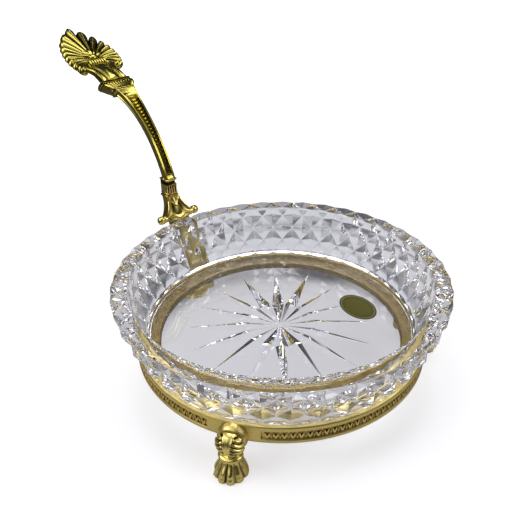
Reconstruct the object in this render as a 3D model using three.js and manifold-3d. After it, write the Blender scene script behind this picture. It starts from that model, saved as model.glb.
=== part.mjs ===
// Crystal trinket dish in a gilt brass mount.
//
// A heavy bowl of cut crystal sits loose in a low brass gallery ring. The ring
// stands on three lion paw feet, and a swan-necked handle that ends in a
// palmette rises behind the bowl. The bowl lifts straight up out of the ring.
//
// Millimetres, +Z up. The soles of the feet lie at z = 0 and the handle points
// along +X. While the pieces are built the axis of the ring is x = 0, y = 0;
// at the end the group is moved so that its bounding box is centred.

import * as THREE from 'three';
import { mergeVertices, toCreasedNormals } from 'three/addons/utils/BufferGeometryUtils.js';
import Module from 'manifold-3d';

// Edges sharper than this, in radians, are drawn as edges
const CREASE = 0.5;

// Clearances
const SEAT_GAP = 0.3;
const SCREW_GAP = 0.3;
const BOWL_SLACK = 1;
const RIM_TO_HANDLE = 4.6;

// Crystal bowl
const RIM_RADIUS = 75;
const RIM_WIDTH = 7.5;
const BOWL_HEIGHT = 31;
const FLOOR_THICKNESS = 6;
const FLOOR_FILLET = 2.6;
const FOOT_CHAMFER = 0.7;
const SHOULDER_OVERHANG = 3.7;
const BASE_WALL = 2.6;
const WALL_CURVE = 1.7;
const SHOULDER_CLEARANCE = 0.6;
const DIAMONDS_ROUND = 40;
const DIAMOND_ROWS = 4;
const DIAMOND_DEPTH = 2.2;
const GROOVE_FADE = 0.4;
const RIM_NOTCH = 0.4;
const TOP_CREASE = 0.25;
const BOWL_TURN = 6.9;

// Star cut into the underside of the bowl
const STAR_RAYS = 16;
const STAR_RADIUS = 44;
const STAR_HEART = 1.2;
const STAR_BROAD_RADIUS = 15;
const STAR_RAY_WIDTH = 4.6;
const STAR_DEPTH = 1.5;

// Foil label on the floor of the bowl
const LABEL_LENGTH = 21.5;
const LABEL_WIDTH = 15.2;
const LABEL_THICKNESS = 0.15;
const LABEL_RADIUS = 38.8;
const LABEL_AZIMUTH = -115.5;
const LABEL_TURN = 14;

// Gallery ring
const RING_RADIUS = 66.4;
const RING_HEIGHT = 8.7;
const BAND_THICKNESS = 3.3;
const LEDGE_WIDTH = 7.5;
const LEDGE_THICKNESS = 3.4;
const FRIEZE_DEPTH = 0.9;
const FRIEZE_HEIGHT = 4.2;
const LOWER_MOULDING = 2.2;
const PLAIN_ARC = 19;
const BOSS_TO_TOP = 0.3;

// Paw feet
const FOOT_CLEAR_HEIGHT = 13.8;
const FRONT_FEET_ANGLE = 122.7;
const FOOT_SET_OUT = 3.6;
const PAW_REACH = 7.9;
const PAW_HEEL = 6;
const PAW_WIDTH = 14.1;
const TOE_DEPTH = 0.13;
const NECK_WIDTH = 8.6;
const COLLAR_WIDTH = 11.4;
const COLLAR_HEIGHT = 12.4;
const COLLAR_PROUD = 4.3;
const LUG_WIDTH = 8;
const LUG_THICKNESS = 3;

// Countersunk screws
const SCREW_RADIUS = 1.2;
const SCREW_HEAD_RADIUS = 2.3;
const SCREW_HEAD_HEIGHT = 1.2;
const SCREW_SLOT = 0.5;
const HANDLE_SCREW_SPACING = 8;

// Handle
const TONGUE_WIDTH = 13;
const STRAP_THICKNESS = 2.9;
const STRAP_WIDTH = 12;
const SKIRT_WIDTH = 21;
const SKIRT_HEIGHT = 10.5;
const SKIRT_DEPTH = 6.4;
const SCROLL_RADIUS = 2.2;
const BLOCK_WIDTH = 7;
const BLOCK_TOP_WIDTH = 6.2;
const BLOCK_DEPTH = 6.2;
const BLOCK_HEIGHT = 10;
const BLOCK_SET_BACK = 5.6;
const BLOCK_SLOTS = 3;
const PILASTER_RADIUS = 71.6;
const PILASTER_START_SLOPE = 70;
const PILASTER_END_SLOPE = 24.5;
const CAPITAL_SLOPE = 47;
const HEAD_SLOPE = 16.5;
const PILASTER_FOOT_WIDTH = 5.4;
const PILASTER_HEAD_WIDTH = 10.4;
const PILASTER_DEPTH = 6;
const PILASTER_HEAD_DEPTH = 7.6;
const CHANNEL_DEPTH = 0.8;
const CHANNEL_BORDER = 1.1;
const CAPITAL_LENGTH = 8;
const CAPITAL_WIDTH = 16.8;
const CAPITAL_DEPTH = 10.4;
const PLATE_THICKNESS = 2.4;
const NECK_LENGTH = 23;
const NECK_LEAF_WIDTH = 15;
const PALMETTE_SLOPE = 20;
const PALMETTE_SINK = 0.8;
const PALMETTE_LENGTH = 37.4;
const PALMETTE_SHOULDER = 14.3;
const PALMETTE_SPREAD = 36;
const PALMETTE_LOBES = 17;
const PALMETTE_THICKNESS = 3;
const VOLUTE_RADIUS = 2.5;
const VOLUTE_SPREAD = 20.8;
const VOLUTE_SET_BACK = 4.4;

// Heights and radii that follow from the sizes above
const ringTop = FOOT_CLEAR_HEIGHT + RING_HEIGHT;
const ledgeTop = FOOT_CLEAR_HEIGHT + LEDGE_THICKNESS;
const bandInner = RING_RADIUS - BAND_THICKNESS;
const ledgeInner = bandInner - LEDGE_WIDTH;
const bowlBottom = ledgeTop + SEAT_GAP;
const rimHeight = bowlBottom + BOWL_HEIGHT;
const floorHeight = bowlBottom + FLOOR_THICKNESS;
const shoulderHeight = ringTop + SHOULDER_CLEARANCE;
const shoulderDrop = rimHeight - shoulderHeight;
const baseRadius = bandInner - BOWL_SLACK;
const wallDraw = RIM_RADIUS - baseRadius - SHOULDER_OVERHANG;
const innerRimRadius = RIM_RADIUS - RIM_WIDTH;
const innerDraw = innerRimRadius - baseRadius + BASE_WALL;
const seatRadius = RING_RADIUS + SEAT_GAP;
const bossProud = SEAT_GAP + STRAP_THICKNESS;
const bossFace = RING_RADIUS + bossProud;
const bossHeight = FOOT_CLEAR_HEIGHT + LOWER_MOULDING;
const bossRadius = ringTop - BOSS_TO_TOP - bossHeight;
const footTop = FOOT_CLEAR_HEIGHT - SEAT_GAP;
const footAxisRadius = RING_RADIUS + FOOT_SET_OUT;
const screwCircle = (ledgeInner + bandInner) / 2;
const handleScrewHeight = (ledgeTop + ringTop) / 2;

// Gilt brass and crystal
const giltBrass = new THREE.MeshStandardMaterial({ color: 0xb8983f, roughness: 0.28, metalness: 1 });
const satinBrass = new THREE.MeshStandardMaterial({ color: 0xa88a3e, roughness: 0.42, metalness: 1 });
const screwBrass = new THREE.MeshStandardMaterial({ color: 0x9c8247, roughness: 0.5, metalness: 1 });
const crystal = new THREE.MeshStandardMaterial({
  color: 0xf4f6fb, roughness: 0.02, metalness: 0, transparent: true, opacity: 0.35,
});
const foil = new THREE.MeshStandardMaterial({ color: 0x6d6a22, roughness: 0.4, metalness: 0.8 });

// Solids that are joined and cut
const wasm = await Module();
wasm.setup();

function toSolid(geometry) {
  const bare = geometry.clone();
  bare.deleteAttribute('normal');
  bare.deleteAttribute('uv');
  const welded = mergeVertices(bare, 1e-4);
  return new wasm.Manifold(new wasm.Mesh({
    numProp: 3,
    vertProperties: new Float32Array(welded.attributes.position.array),
    triVerts: new Uint32Array(welded.index.array),
  }));
}

function toGeometry(solid) {
  const { vertProperties, triVerts, numProp } = solid.getMesh();
  const geometry = new THREE.BufferGeometry();
  const positions = new Float32Array(vertProperties.length / numProp * 3);
  for (let i = 0; i < positions.length / 3; i += 1) {
    for (let axis = 0; axis < 3; axis += 1) {
      positions[3 * i + axis] = vertProperties[numProp * i + axis];
    }
  }
  geometry.setAttribute('position', new THREE.BufferAttribute(positions, 3));
  geometry.setIndex(new THREE.BufferAttribute(new Uint32Array(triVerts), 1));
  geometry.computeVertexNormals();
  return geometry;
}

function joinAll(geometries) {
  return geometries.map(toSolid).reduce((whole, piece) => whole.add(piece));
}

// A closed body from its corners and its flat faces, each a fan of triangles.
function polyhedron(corners, faces) {
  const geometry = new THREE.BufferGeometry();
  const index = faces.flatMap((face) => face.slice(2).flatMap((corner, i) => [face[0], face[i + 1], corner]));
  geometry.setAttribute('position', new THREE.Float32BufferAttribute(corners.flat(), 3));
  geometry.setIndex(index);
  return geometry;
}

// A closed body through rings of equal point counts, with a fan at each end.
// Each ring runs anticlockwise as seen from the far end of the body.
// splitOther says where a quad takes its other diagonal.
function loft(rings, splitOther = () => false) {
  const count = rings[0].length;
  const corners = rings.flat();
  const middle = (ring) => [0, 1, 2].map((axis) => ring.reduce((sum, point) => sum + point[axis], 0) / count);
  const first = corners.push(middle(rings[0])) - 1;
  const last = corners.push(middle(rings[rings.length - 1])) - 1;
  const top = (rings.length - 1) * count;
  const faces = [];
  for (let i = 0; i < count; i += 1) {
    const next = (i + 1) % count;
    faces.push([first, next, i], [last, top + i, top + next]);
    for (let level = 0; level < rings.length - 1; level += 1) {
      const a = level * count + i;
      const b = level * count + next;
      const [c, d] = [a + count, b + count];
      faces.push(...(splitOther(level, i) ? [[a, b, c], [b, d, c]] : [[a, b, d], [a, d, c]]));
    }
  }
  return polyhedron(corners, faces);
}

function circle(radius, z, count) {
  return Array.from({ length: count }, (_, i) => {
    const angle = i / count * 2 * Math.PI;
    return [radius * Math.cos(angle), radius * Math.sin(angle), z];
  });
}

// Turned outline [radius, height] about Z
function turned(outline, segments) {
  return new THREE.LatheGeometry(outline.map(([r, h]) => new THREE.Vector2(r, h)), segments).rotateX(Math.PI / 2);
}

// Outline in the XY plane raised from one height to another
function raised(shape, from, to, curveSegments = 12) {
  return new THREE.ExtrudeGeometry(shape, { depth: to - from, bevelEnabled: false, curveSegments })
    .translate(0, 0, from);
}

function mesh(name, geometry, material) {
  const piece = new THREE.Mesh(toCreasedNormals(geometry, CREASE), material);
  piece.name = name;
  return piece;
}

const radians = THREE.MathUtils.degToRad;

// The crystal bowl

// Radius of the wall at a depth below the rim, drawn in along a power curve
function wallRadius(topRadius, draw, depth) {
  return topRadius - draw * (depth / shoulderDrop) ** WALL_CURVE;
}

// One row of the cut wall. Corners of two kinds take turns round it: the tip of
// a pyramid, on the outer surface, and a crossing of two grooves, cut deeper.
// The grooves run out at the rim and at the shoulder.
function diamondRow(row) {
  const depth = row / DIAMOND_ROWS * shoulderDrop;
  const count = 2 * DIAMONDS_ROUND;
  return Array.from({ length: count }, (_, i) => {
    const isTip = (i + row) % 2 === 1;
    const groove = row === 0 || row === DIAMOND_ROWS ? GROOVE_FADE : DIAMOND_DEPTH;
    const radius = wallRadius(RIM_RADIUS, wallDraw, depth) - (isTip ? 0 : groove);
    const notch = row === 0 && !isTip ? RIM_NOTCH : 0;
    const angle = i / count * 2 * Math.PI;
    return [radius * Math.cos(angle), radius * Math.sin(angle), rimHeight - depth - notch];
  });
}

function bowlBody() {
  const count = 2 * DIAMONDS_ROUND;
  const base = [
    circle(baseRadius - FOOT_CHAMFER, bowlBottom, count),
    circle(baseRadius, bowlBottom + FOOT_CHAMFER, count),
    circle(baseRadius, shoulderHeight, count),
  ];
  const cutWall = [];
  for (let row = DIAMOND_ROWS; row >= 0; row -= 1) {
    cutWall.push(diamondRow(row));
  }
  const innerWall = [];
  const innerSteps = 5;
  const filletTop = rimHeight - floorHeight - FLOOR_FILLET;
  for (let step = 0; step <= innerSteps; step += 1) {
    const depth = step / innerSteps * filletTop;
    const ring = circle(wallRadius(innerRimRadius, innerDraw, depth), rimHeight - depth, count);
    innerWall.push(ring.map(([x, y, z], i) => [x, y, step === 0 && i % 2 === 0 ? z - TOP_CREASE : z]));
  }
  const wallFoot = wallRadius(innerRimRadius, innerDraw, filletTop);
  const filletSteps = 3;
  for (let step = 1; step <= filletSteps; step += 1) {
    const turn = step / filletSteps * Math.PI / 2;
    const radius = wallFoot - FLOOR_FILLET * (1 - Math.cos(turn));
    innerWall.push(circle(radius, floorHeight + FLOOR_FILLET * (1 - Math.sin(turn)), count));
  }
  // Between two rows of diamonds the groove runs from crossing to crossing.
  const splitOther = (level, i) => {
    const row = DIAMOND_ROWS - (level - base.length);
    const inWall = level >= base.length && row > 0;
    return inWall && (i + row) % 2 === 1;
  };
  return loft([...base, ...cutWall, ...innerWall], splitOther);
}

// One ray of the star: a long kite, cut to its full depth where it is broadest
function starRay(angle) {
  const half = STAR_RAY_WIDTH / 2;
  const corners = [
    [STAR_HEART, 0, 0], [STAR_BROAD_RADIUS, -half, 0], [STAR_RADIUS, 0, 0], [STAR_BROAD_RADIUS, half, 0],
    [STAR_BROAD_RADIUS, 0, STAR_DEPTH], [STAR_BROAD_RADIUS, 0, -STAR_DEPTH],
  ];
  const rims = [[0, 1], [1, 2], [2, 3], [3, 0]];
  const faces = rims.flatMap(([a, b]) => [[a, b, 4], [b, a, 5]]);
  return polyhedron(corners, faces).rotateZ(angle).translate(0, 0, bowlBottom);
}

function glassBowl() {
  let solid = toSolid(bowlBody());
  for (let ray = 0; ray < STAR_RAYS; ray += 1) {
    solid = solid.subtract(toSolid(starRay(ray / STAR_RAYS * 2 * Math.PI)));
  }
  const bowl = mesh('glass_bowl', toGeometry(solid), crystal);
  bowl.rotation.z = radians(BOWL_TURN);
  return bowl;
}

function foilLabel() {
  const oval = new THREE.Shape();
  oval.absellipse(0, 0, LABEL_LENGTH / 2, LABEL_WIDTH / 2, 0, 2 * Math.PI, false, 0);
  const geometry = raised(oval, 0, LABEL_THICKNESS, 20);
  const label = mesh('foil_label', geometry, foil);
  const azimuth = radians(LABEL_AZIMUTH);
  label.position.set(LABEL_RADIUS * Math.cos(azimuth), LABEL_RADIUS * Math.sin(azimuth), floorHeight);
  label.rotation.z = azimuth + Math.PI / 2 + radians(LABEL_TURN);
  return label;
}

// The gallery ring

const footAngles = { left: FRONT_FEET_ANGLE, right: -FRONT_FEET_ANGLE, rear: 0 };

function ringBody() {
  const friezeBottom = FOOT_CLEAR_HEIGHT + LOWER_MOULDING;
  const friezeTop = friezeBottom + FRIEZE_HEIGHT;
  const friezeRadius = RING_RADIUS - FRIEZE_DEPTH;
  const round = 0.6;
  const outline = [
    [ledgeInner, FOOT_CLEAR_HEIGHT],
    [RING_RADIUS - round, FOOT_CLEAR_HEIGHT],
    [RING_RADIUS, FOOT_CLEAR_HEIGHT + round],
    [RING_RADIUS, friezeBottom - round / 2],
    [friezeRadius, friezeBottom],
    [friezeRadius, friezeTop],
    [RING_RADIUS, friezeTop + round / 2],
    [RING_RADIUS, ringTop - round],
    [RING_RADIUS - round, ringTop],
    [bandInner + round, ringTop],
    [bandInner, ringTop - round],
    [bandInner, ledgeTop],
    [ledgeInner + round, ledgeTop],
    [ledgeInner, ledgeTop - round],
  ];
  return turned([...outline, outline[0]], 72);
}

// The smooth stretch of the band beside a foot, where the frieze stops
function plainStretch(angle) {
  const half = radians(PLAIN_ARC / 2);
  const shape = new THREE.Shape();
  shape.absarc(0, 0, RING_RADIUS, angle - half, angle + half, false);
  shape.absarc(0, 0, RING_RADIUS - BAND_THICKNESS / 2, angle + half, angle - half, true);
  return raised(shape, FOOT_CLEAR_HEIGHT + LOWER_MOULDING / 2, ringTop - LOWER_MOULDING / 2, 4);
}

// The half-round boss that a front foot stands against, cut off at the
// underside of the ring
function ringBoss(angle) {
  const button = [
    [0, bossProud], [bossRadius - 1.6, bossProud], [bossRadius - 0.5, bossProud - 0.6],
    [bossRadius, bossProud - 1.7], [bossRadius, -BAND_THICKNESS / 2], [0, -BAND_THICKNESS / 2],
  ];
  const boss = turned([...button].reverse(), 20).rotateY(Math.PI / 2).translate(RING_RADIUS, 0, bossHeight);
  const keep = new THREE.BoxGeometry(2 * bossRadius, 2 * bossRadius + 1, 2 * bossRadius)
    .translate(RING_RADIUS, 0, FOOT_CLEAR_HEIGHT + bossRadius);
  return toSolid(toGeometry(toSolid(boss).intersect(toSolid(keep))).rotateZ(angle));
}

// The room that a countersunk screw needs, with its head up at the origin
function screwRoom(length) {
  const head = SCREW_HEAD_RADIUS + SCREW_GAP;
  const shank = SCREW_RADIUS + SCREW_GAP;
  const neck = -SCREW_HEAD_HEIGHT - SCREW_GAP / 2;
  return turned([[0, -length], [shank, -length], [shank, neck], [head, 0], [head, 1], [0, 1]], 16);
}

function screw(name, length) {
  const body = turned([
    [0, -length], [SCREW_RADIUS * 0.6, -length], [SCREW_RADIUS, -length + 0.6], [SCREW_RADIUS, -SCREW_HEAD_HEIGHT],
    [SCREW_HEAD_RADIUS, -0.15], [SCREW_HEAD_RADIUS, 0], [0, 0],
  ], 16);
  const slot = new THREE.BoxGeometry(3 * SCREW_HEAD_RADIUS, SCREW_SLOT, SCREW_HEAD_HEIGHT);
  return mesh(name, toGeometry(toSolid(body).subtract(toSolid(slot))), screwBrass);
}

const footScrewLength = LEDGE_THICKNESS + SEAT_GAP + LUG_THICKNESS - 0.6;
const handleScrewLength = BAND_THICKNESS + SEAT_GAP + STRAP_THICKNESS - 0.6;
const handleScrewSides = [-HANDLE_SCREW_SPACING / 2, HANDLE_SCREW_SPACING / 2];

// A shape that points down, laid so that its head faces the ring's axis
function outward(geometry, side) {
  return geometry.rotateY(-Math.PI / 2).translate(bandInner, side, handleScrewHeight);
}

function galleryRing() {
  let solid = toSolid(ringBody());
  for (const angle of Object.values(footAngles).map(radians)) {
    solid = solid.add(toSolid(plainStretch(angle)));
    const hole = screwRoom(LEDGE_THICKNESS + 1).translate(screwCircle, 0, ledgeTop).rotateZ(angle);
    if (angle !== 0) {
      solid = solid.add(ringBoss(angle));
    }
    solid = solid.subtract(toSolid(hole));
  }
  for (const side of handleScrewSides) {
    solid = solid.subtract(toSolid(outward(screwRoom(BAND_THICKNESS + 1), side)));
  }
  return mesh('gallery_ring', toGeometry(solid), satinBrass);
}

// The paw feet

// One level of the foot: front and rear reach from the foot's axis, half width,
// and how far the clefts between the toes cut in
function footLevel(z, front, rear, half, cleft) {
  const count = 30;
  return Array.from({ length: count }, (_, i) => {
    const angle = i / count * 2 * Math.PI;
    const facing = Math.cos(angle);
    const towardToes = Math.max(0, Math.min(1, 2.2 * facing + 0.4));
    const lobes = 1 - cleft * towardToes * (1 - Math.abs(Math.sin(5 * angle)));
    const reach = facing > 0 ? front : rear;
    return [footAxisRadius + reach * facing * lobes, half * Math.sin(angle) * lobes, z];
  });
}

function pawFoot(name, angle) {
  const paw = PAW_WIDTH / 2;
  const neck = NECK_WIDTH / 2;
  const collar = COLLAR_WIDTH / 2;
  const pawTop = FOOT_CLEAR_HEIGHT * 0.58;
  const neckTop = FOOT_CLEAR_HEIGHT * 0.7;
  const levels = [
    footLevel(0, PAW_REACH * 0.92, PAW_HEEL * 0.88, paw * 0.97, TOE_DEPTH),
    footLevel(pawTop * 0.1, PAW_REACH, PAW_HEEL * 0.97, paw, TOE_DEPTH * 1.4),
    footLevel(pawTop * 0.24, PAW_REACH * 0.99, PAW_HEEL, paw * 0.95, TOE_DEPTH * 1.5),
    footLevel(pawTop * 0.45, PAW_REACH * 0.86, PAW_HEEL * 0.98, paw * 0.82, TOE_DEPTH * 1.2),
    footLevel(pawTop * 0.65, PAW_REACH * 0.66, PAW_HEEL * 0.9, paw * 0.68, TOE_DEPTH * 0.8),
    footLevel(pawTop * 0.82, PAW_REACH * 0.52, PAW_HEEL * 0.82, neck * 0.98, TOE_DEPTH * 0.3),
    footLevel(pawTop, PAW_REACH * 0.47, PAW_HEEL * 0.78, neck * 0.95, 0),
    footLevel(pawTop + 0.3, PAW_REACH * 0.5, PAW_HEEL * 0.78, neck * 1.06, 0),
    footLevel(neckTop - 0.4, PAW_REACH * 0.5, PAW_HEEL * 0.78, neck * 1.06, 0),
    footLevel(neckTop, PAW_REACH * 0.45, PAW_HEEL * 0.76, neck * 0.98, 0),
  ];
  const collarMiddle = neckTop + COLLAR_HEIGHT / 2 - 1.3;
  const collarSteps = 7;
  for (let step = 0; step <= collarSteps; step += 1) {
    const rise = -0.86 + step / collarSteps * 1.8;
    const swell = Math.sqrt(1 - rise * rise);
    const z = collarMiddle + rise * COLLAR_HEIGHT / 2;
    levels.push(footLevel(z, COLLAR_PROUD * swell + 0.2, PAW_HEEL * 0.76, collar * swell, 0));
  }
  // Above the underside of the ring only what stands in front of the boss stays.
  const behindBoss = new THREE.BoxGeometry(3 * PAW_WIDTH, 2 * PAW_WIDTH, RING_HEIGHT + 4)
    .translate(bossFace + SEAT_GAP - 1.5 * PAW_WIDTH, 0, footTop + (RING_HEIGHT + 4) / 2);
  const lugShape = new THREE.Shape();
  lugShape.absarc(screwCircle, 0, LUG_WIDTH / 2, Math.PI / 2, Math.PI * 1.5, false);
  lugShape.lineTo(footAxisRadius, -LUG_WIDTH / 2);
  lugShape.lineTo(footAxisRadius, LUG_WIDTH / 2);
  const lug = raised(lugShape, footTop - LUG_THICKNESS, footTop, 6);
  const hole = screwRoom(LEDGE_THICKNESS + SEAT_GAP + LUG_THICKNESS + 1).translate(screwCircle, 0, ledgeTop);
  const solid = toSolid(loft(levels))
    .subtract(toSolid(behindBoss))
    .add(toSolid(lug))
    .subtract(toSolid(hole));
  const foot = mesh(name, toGeometry(solid), giltBrass);
  foot.rotation.z = angle;
  return foot;
}

// The handle

// Its face towards the bowl follows one line in the XZ plane: up the band of
// the ring, out along the bowl, up the block, round an arc and along the head.
const skirtFoot = new THREE.Vector2(RIM_RADIUS + RIM_TO_HANDLE, rimHeight - 2.5);
const blockFoot = new THREE.Vector2(skirtFoot.x + BLOCK_SET_BACK + 0.6, skirtFoot.y + SKIRT_HEIGHT);
const blockTop = new THREE.Vector2(blockFoot.x, blockFoot.y + BLOCK_HEIGHT);
const arcCentre = new THREE.Vector2(
  blockTop.x + PILASTER_RADIUS * Math.sin(radians(PILASTER_START_SLOPE)),
  blockTop.y - PILASTER_RADIUS * Math.cos(radians(PILASTER_START_SLOPE)),
);

function onArc(slope) {
  return new THREE.Vector2(
    arcCentre.x - PILASTER_RADIUS * Math.sin(radians(slope)),
    arcCentre.y + PILASTER_RADIUS * Math.cos(radians(slope)),
  );
}

const along = new THREE.Vector2(Math.cos(radians(HEAD_SLOPE)), Math.sin(radians(HEAD_SLOPE)));
const capitalFoot = onArc(PILASTER_END_SLOPE);
const capitalTop = capitalFoot.clone().addScaledVector(along, CAPITAL_LENGTH);
const palmetteHeart = capitalTop.clone().addScaledVector(along, NECK_LENGTH);
palmetteHeart.y -= PALMETTE_SINK;

// A ring of points across the handle: side is along Y, and lift is towards the
// bowl, square to the line that the slope gives
function acrossHandle(point, slope, outline) {
  const normal = new THREE.Vector2(-Math.sin(radians(slope)), Math.cos(radians(slope)));
  return outline.map(([side, lift]) => [point.x + lift * normal.x, side, point.y + lift * normal.y]);
}

// Cross-section with its face at lift 0. Its rear corners are cut off beyond the
// given share of the width and of the depth.
function barSection(width, depth, share = 0.6) {
  const half = width / 2;
  return [
    [half - 0.3, 0], [-half + 0.3, 0], [-half, -0.3], [-half, -share * depth], [-share * half, -depth],
    [share * half, -depth], [half, -share * depth], [half, -0.3],
  ];
}

// The same with a channel sunk in its face between two borders
function channelSection(width, depth, channel) {
  const half = width / 2;
  const inner = half - CHANNEL_BORDER;
  return [
    [half, 0], [inner, 0], [inner - 0.3, -channel], [-inner + 0.3, -channel], [-inner, 0], [-half, 0],
    [-half, -0.6 * depth], [-0.6 * half, -depth], [0.6 * half, -depth], [half, -0.6 * depth],
  ];
}

// Strap from the ring up behind the bowl, with a half-round tongue at its foot.
// It follows the wall of the bowl, further from it towards the rim.
function strap() {
  const top = skirtFoot.y + 3;
  const follow = (share) => {
    const height = THREE.MathUtils.lerp(shoulderHeight, top, share);
    const depth = Math.max(0, rimHeight - height);
    const gap = THREE.MathUtils.lerp(seatRadius - baseRadius - SHOULDER_OVERHANG, RIM_TO_HANDLE + 2.2, share);
    return new THREE.Vector2(wallRadius(RIM_RADIUS, wallDraw, depth) + gap, height);
  };
  const section = (width) => barSection(width, STRAP_THICKNESS);
  const rings = [bossHeight, shoulderHeight - 2.5].map((height) => (
    acrossHandle(new THREE.Vector2(seatRadius, height), 90, section(TONGUE_WIDTH))
  ));
  const steps = 9;
  for (let step = 0; step <= steps; step += 1) {
    const share = step / steps;
    const ahead = follow(share + 0.05).sub(follow(share - 0.05));
    const slope = THREE.MathUtils.radToDeg(Math.atan2(ahead.y, ahead.x));
    const width = THREE.MathUtils.lerp(TONGUE_WIDTH, STRAP_WIDTH, Math.min(1, 2 * share));
    rings.push(acrossHandle(follow(share), slope, section(width)));
  }
  const tongue = turned([
    [0, 0], [TONGUE_WIDTH / 2, 0], [TONGUE_WIDTH / 2, STRAP_THICKNESS - 0.5],
    [TONGUE_WIDTH / 2 - 0.5, STRAP_THICKNESS], [0, STRAP_THICKNESS],
  ], 24).rotateY(Math.PI / 2).translate(seatRadius, 0, bossHeight);
  const below = new THREE.BoxGeometry(2 * TONGUE_WIDTH, 2 * TONGUE_WIDTH, TONGUE_WIDTH)
    .translate(seatRadius, 0, FOOT_CLEAR_HEIGHT - TONGUE_WIDTH / 2);
  return joinAll([loft(rings), tongue]).subtract(toSolid(below));
}

// Flared skirt that spreads from the block to two scroll ends at the rim
function skirt() {
  const steps = 8;
  const rings = [];
  for (let step = 0; step <= steps; step += 1) {
    const t = step / steps;
    const flare = (1 - t) ** 2.2;
    const width = THREE.MathUtils.lerp(BLOCK_WIDTH, SKIRT_WIDTH, flare);
    const x = THREE.MathUtils.lerp(skirtFoot.x, blockFoot.x, t ** 1.6);
    const z = THREE.MathUtils.lerp(skirtFoot.y, blockFoot.y, t);
    const depth = THREE.MathUtils.lerp(BLOCK_DEPTH, SKIRT_DEPTH, flare);
    const half = width / 2;
    const bow = 1.6 * flare;
    rings.push(acrossHandle(new THREE.Vector2(x, z), 90, [
      [half, -bow], [half / 2, 0.3], [0, 0.6], [-half / 2, 0.3], [-half, -bow],
      [-half, -depth], [0, -depth - 0.4], [half, -depth],
    ]));
  }
  const scrolls = [-1, 1].map((side) => new THREE.SphereGeometry(SCROLL_RADIUS, 12, 8)
    .scale(1, 1.4, 1)
    .translate(skirtFoot.x + 2.6, side * (SKIRT_WIDTH / 2 - 1.2), skirtFoot.y + 1.2));
  return joinAll([loft(rings), ...scrolls]);
}

// Block with upright slots between two plain fillets, a little narrower at its top
function slottedBlock() {
  const station = (height, proud) => {
    const share = (height - blockFoot.y) / BLOCK_HEIGHT;
    const half = THREE.MathUtils.lerp(BLOCK_WIDTH, BLOCK_TOP_WIDTH, share) / 2 + proud;
    return [
      [blockFoot.x - proud, half, height], [blockFoot.x - proud, -half, height],
      [blockFoot.x + BLOCK_DEPTH + proud, -half, height], [blockFoot.x + BLOCK_DEPTH + proud, half, height],
    ];
  };
  const heights = [
    [blockFoot.y - 0.5, 0], [blockFoot.y + 0.3, 0], [blockFoot.y + 0.3, 0.35], [blockFoot.y + 1.5, 0.35],
    [blockFoot.y + 1.5, 0], [blockTop.y - 1.5, 0], [blockTop.y - 1.5, 0.35], [blockTop.y - 0.3, 0.35],
    [blockTop.y - 0.3, 0], [blockTop.y, 0],
  ];
  let solid = toSolid(loft(heights.map(([height, proud]) => station(height, proud))));
  const pitch = BLOCK_TOP_WIDTH / (BLOCK_SLOTS + 0.5);
  for (let slot = 0; slot < BLOCK_SLOTS; slot += 1) {
    const side = (slot - (BLOCK_SLOTS - 1) / 2) * pitch;
    const cut = new THREE.BoxGeometry(1.6, pitch * 0.5, BLOCK_HEIGHT - 4.2)
      .translate(blockFoot.x, side, (blockFoot.y + blockTop.y) / 2);
    solid = solid.subtract(toSolid(cut));
  }
  return solid;
}

// Curved pilaster, narrow for most of its length and spread at the capital.
// Its sections turn less than its face does, so it leans into the capital.
function pilaster() {
  const steps = 14;
  const rings = [acrossHandle(
    new THREE.Vector2(blockTop.x, blockTop.y - 1),
    90,
    channelSection(PILASTER_FOOT_WIDTH, PILASTER_DEPTH, 0.01),
  )];
  for (let step = 0; step <= steps; step += 1) {
    const t = step / steps;
    const face = THREE.MathUtils.lerp(PILASTER_START_SLOPE, PILASTER_END_SLOPE, t);
    const section = THREE.MathUtils.lerp(PILASTER_START_SLOPE, CAPITAL_SLOPE, t);
    const width = THREE.MathUtils.lerp(PILASTER_FOOT_WIDTH, PILASTER_HEAD_WIDTH, t ** 4.5);
    const depth = THREE.MathUtils.lerp(PILASTER_DEPTH, PILASTER_HEAD_DEPTH, t ** 3);
    const ends = Math.min(1, 8 * t, 8 * (1 - t));
    rings.push(acrossHandle(onArc(face), section, channelSection(width, depth, CHANNEL_DEPTH * ends + 0.01)));
  }
  return toSolid(loft(rings));
}

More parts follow.
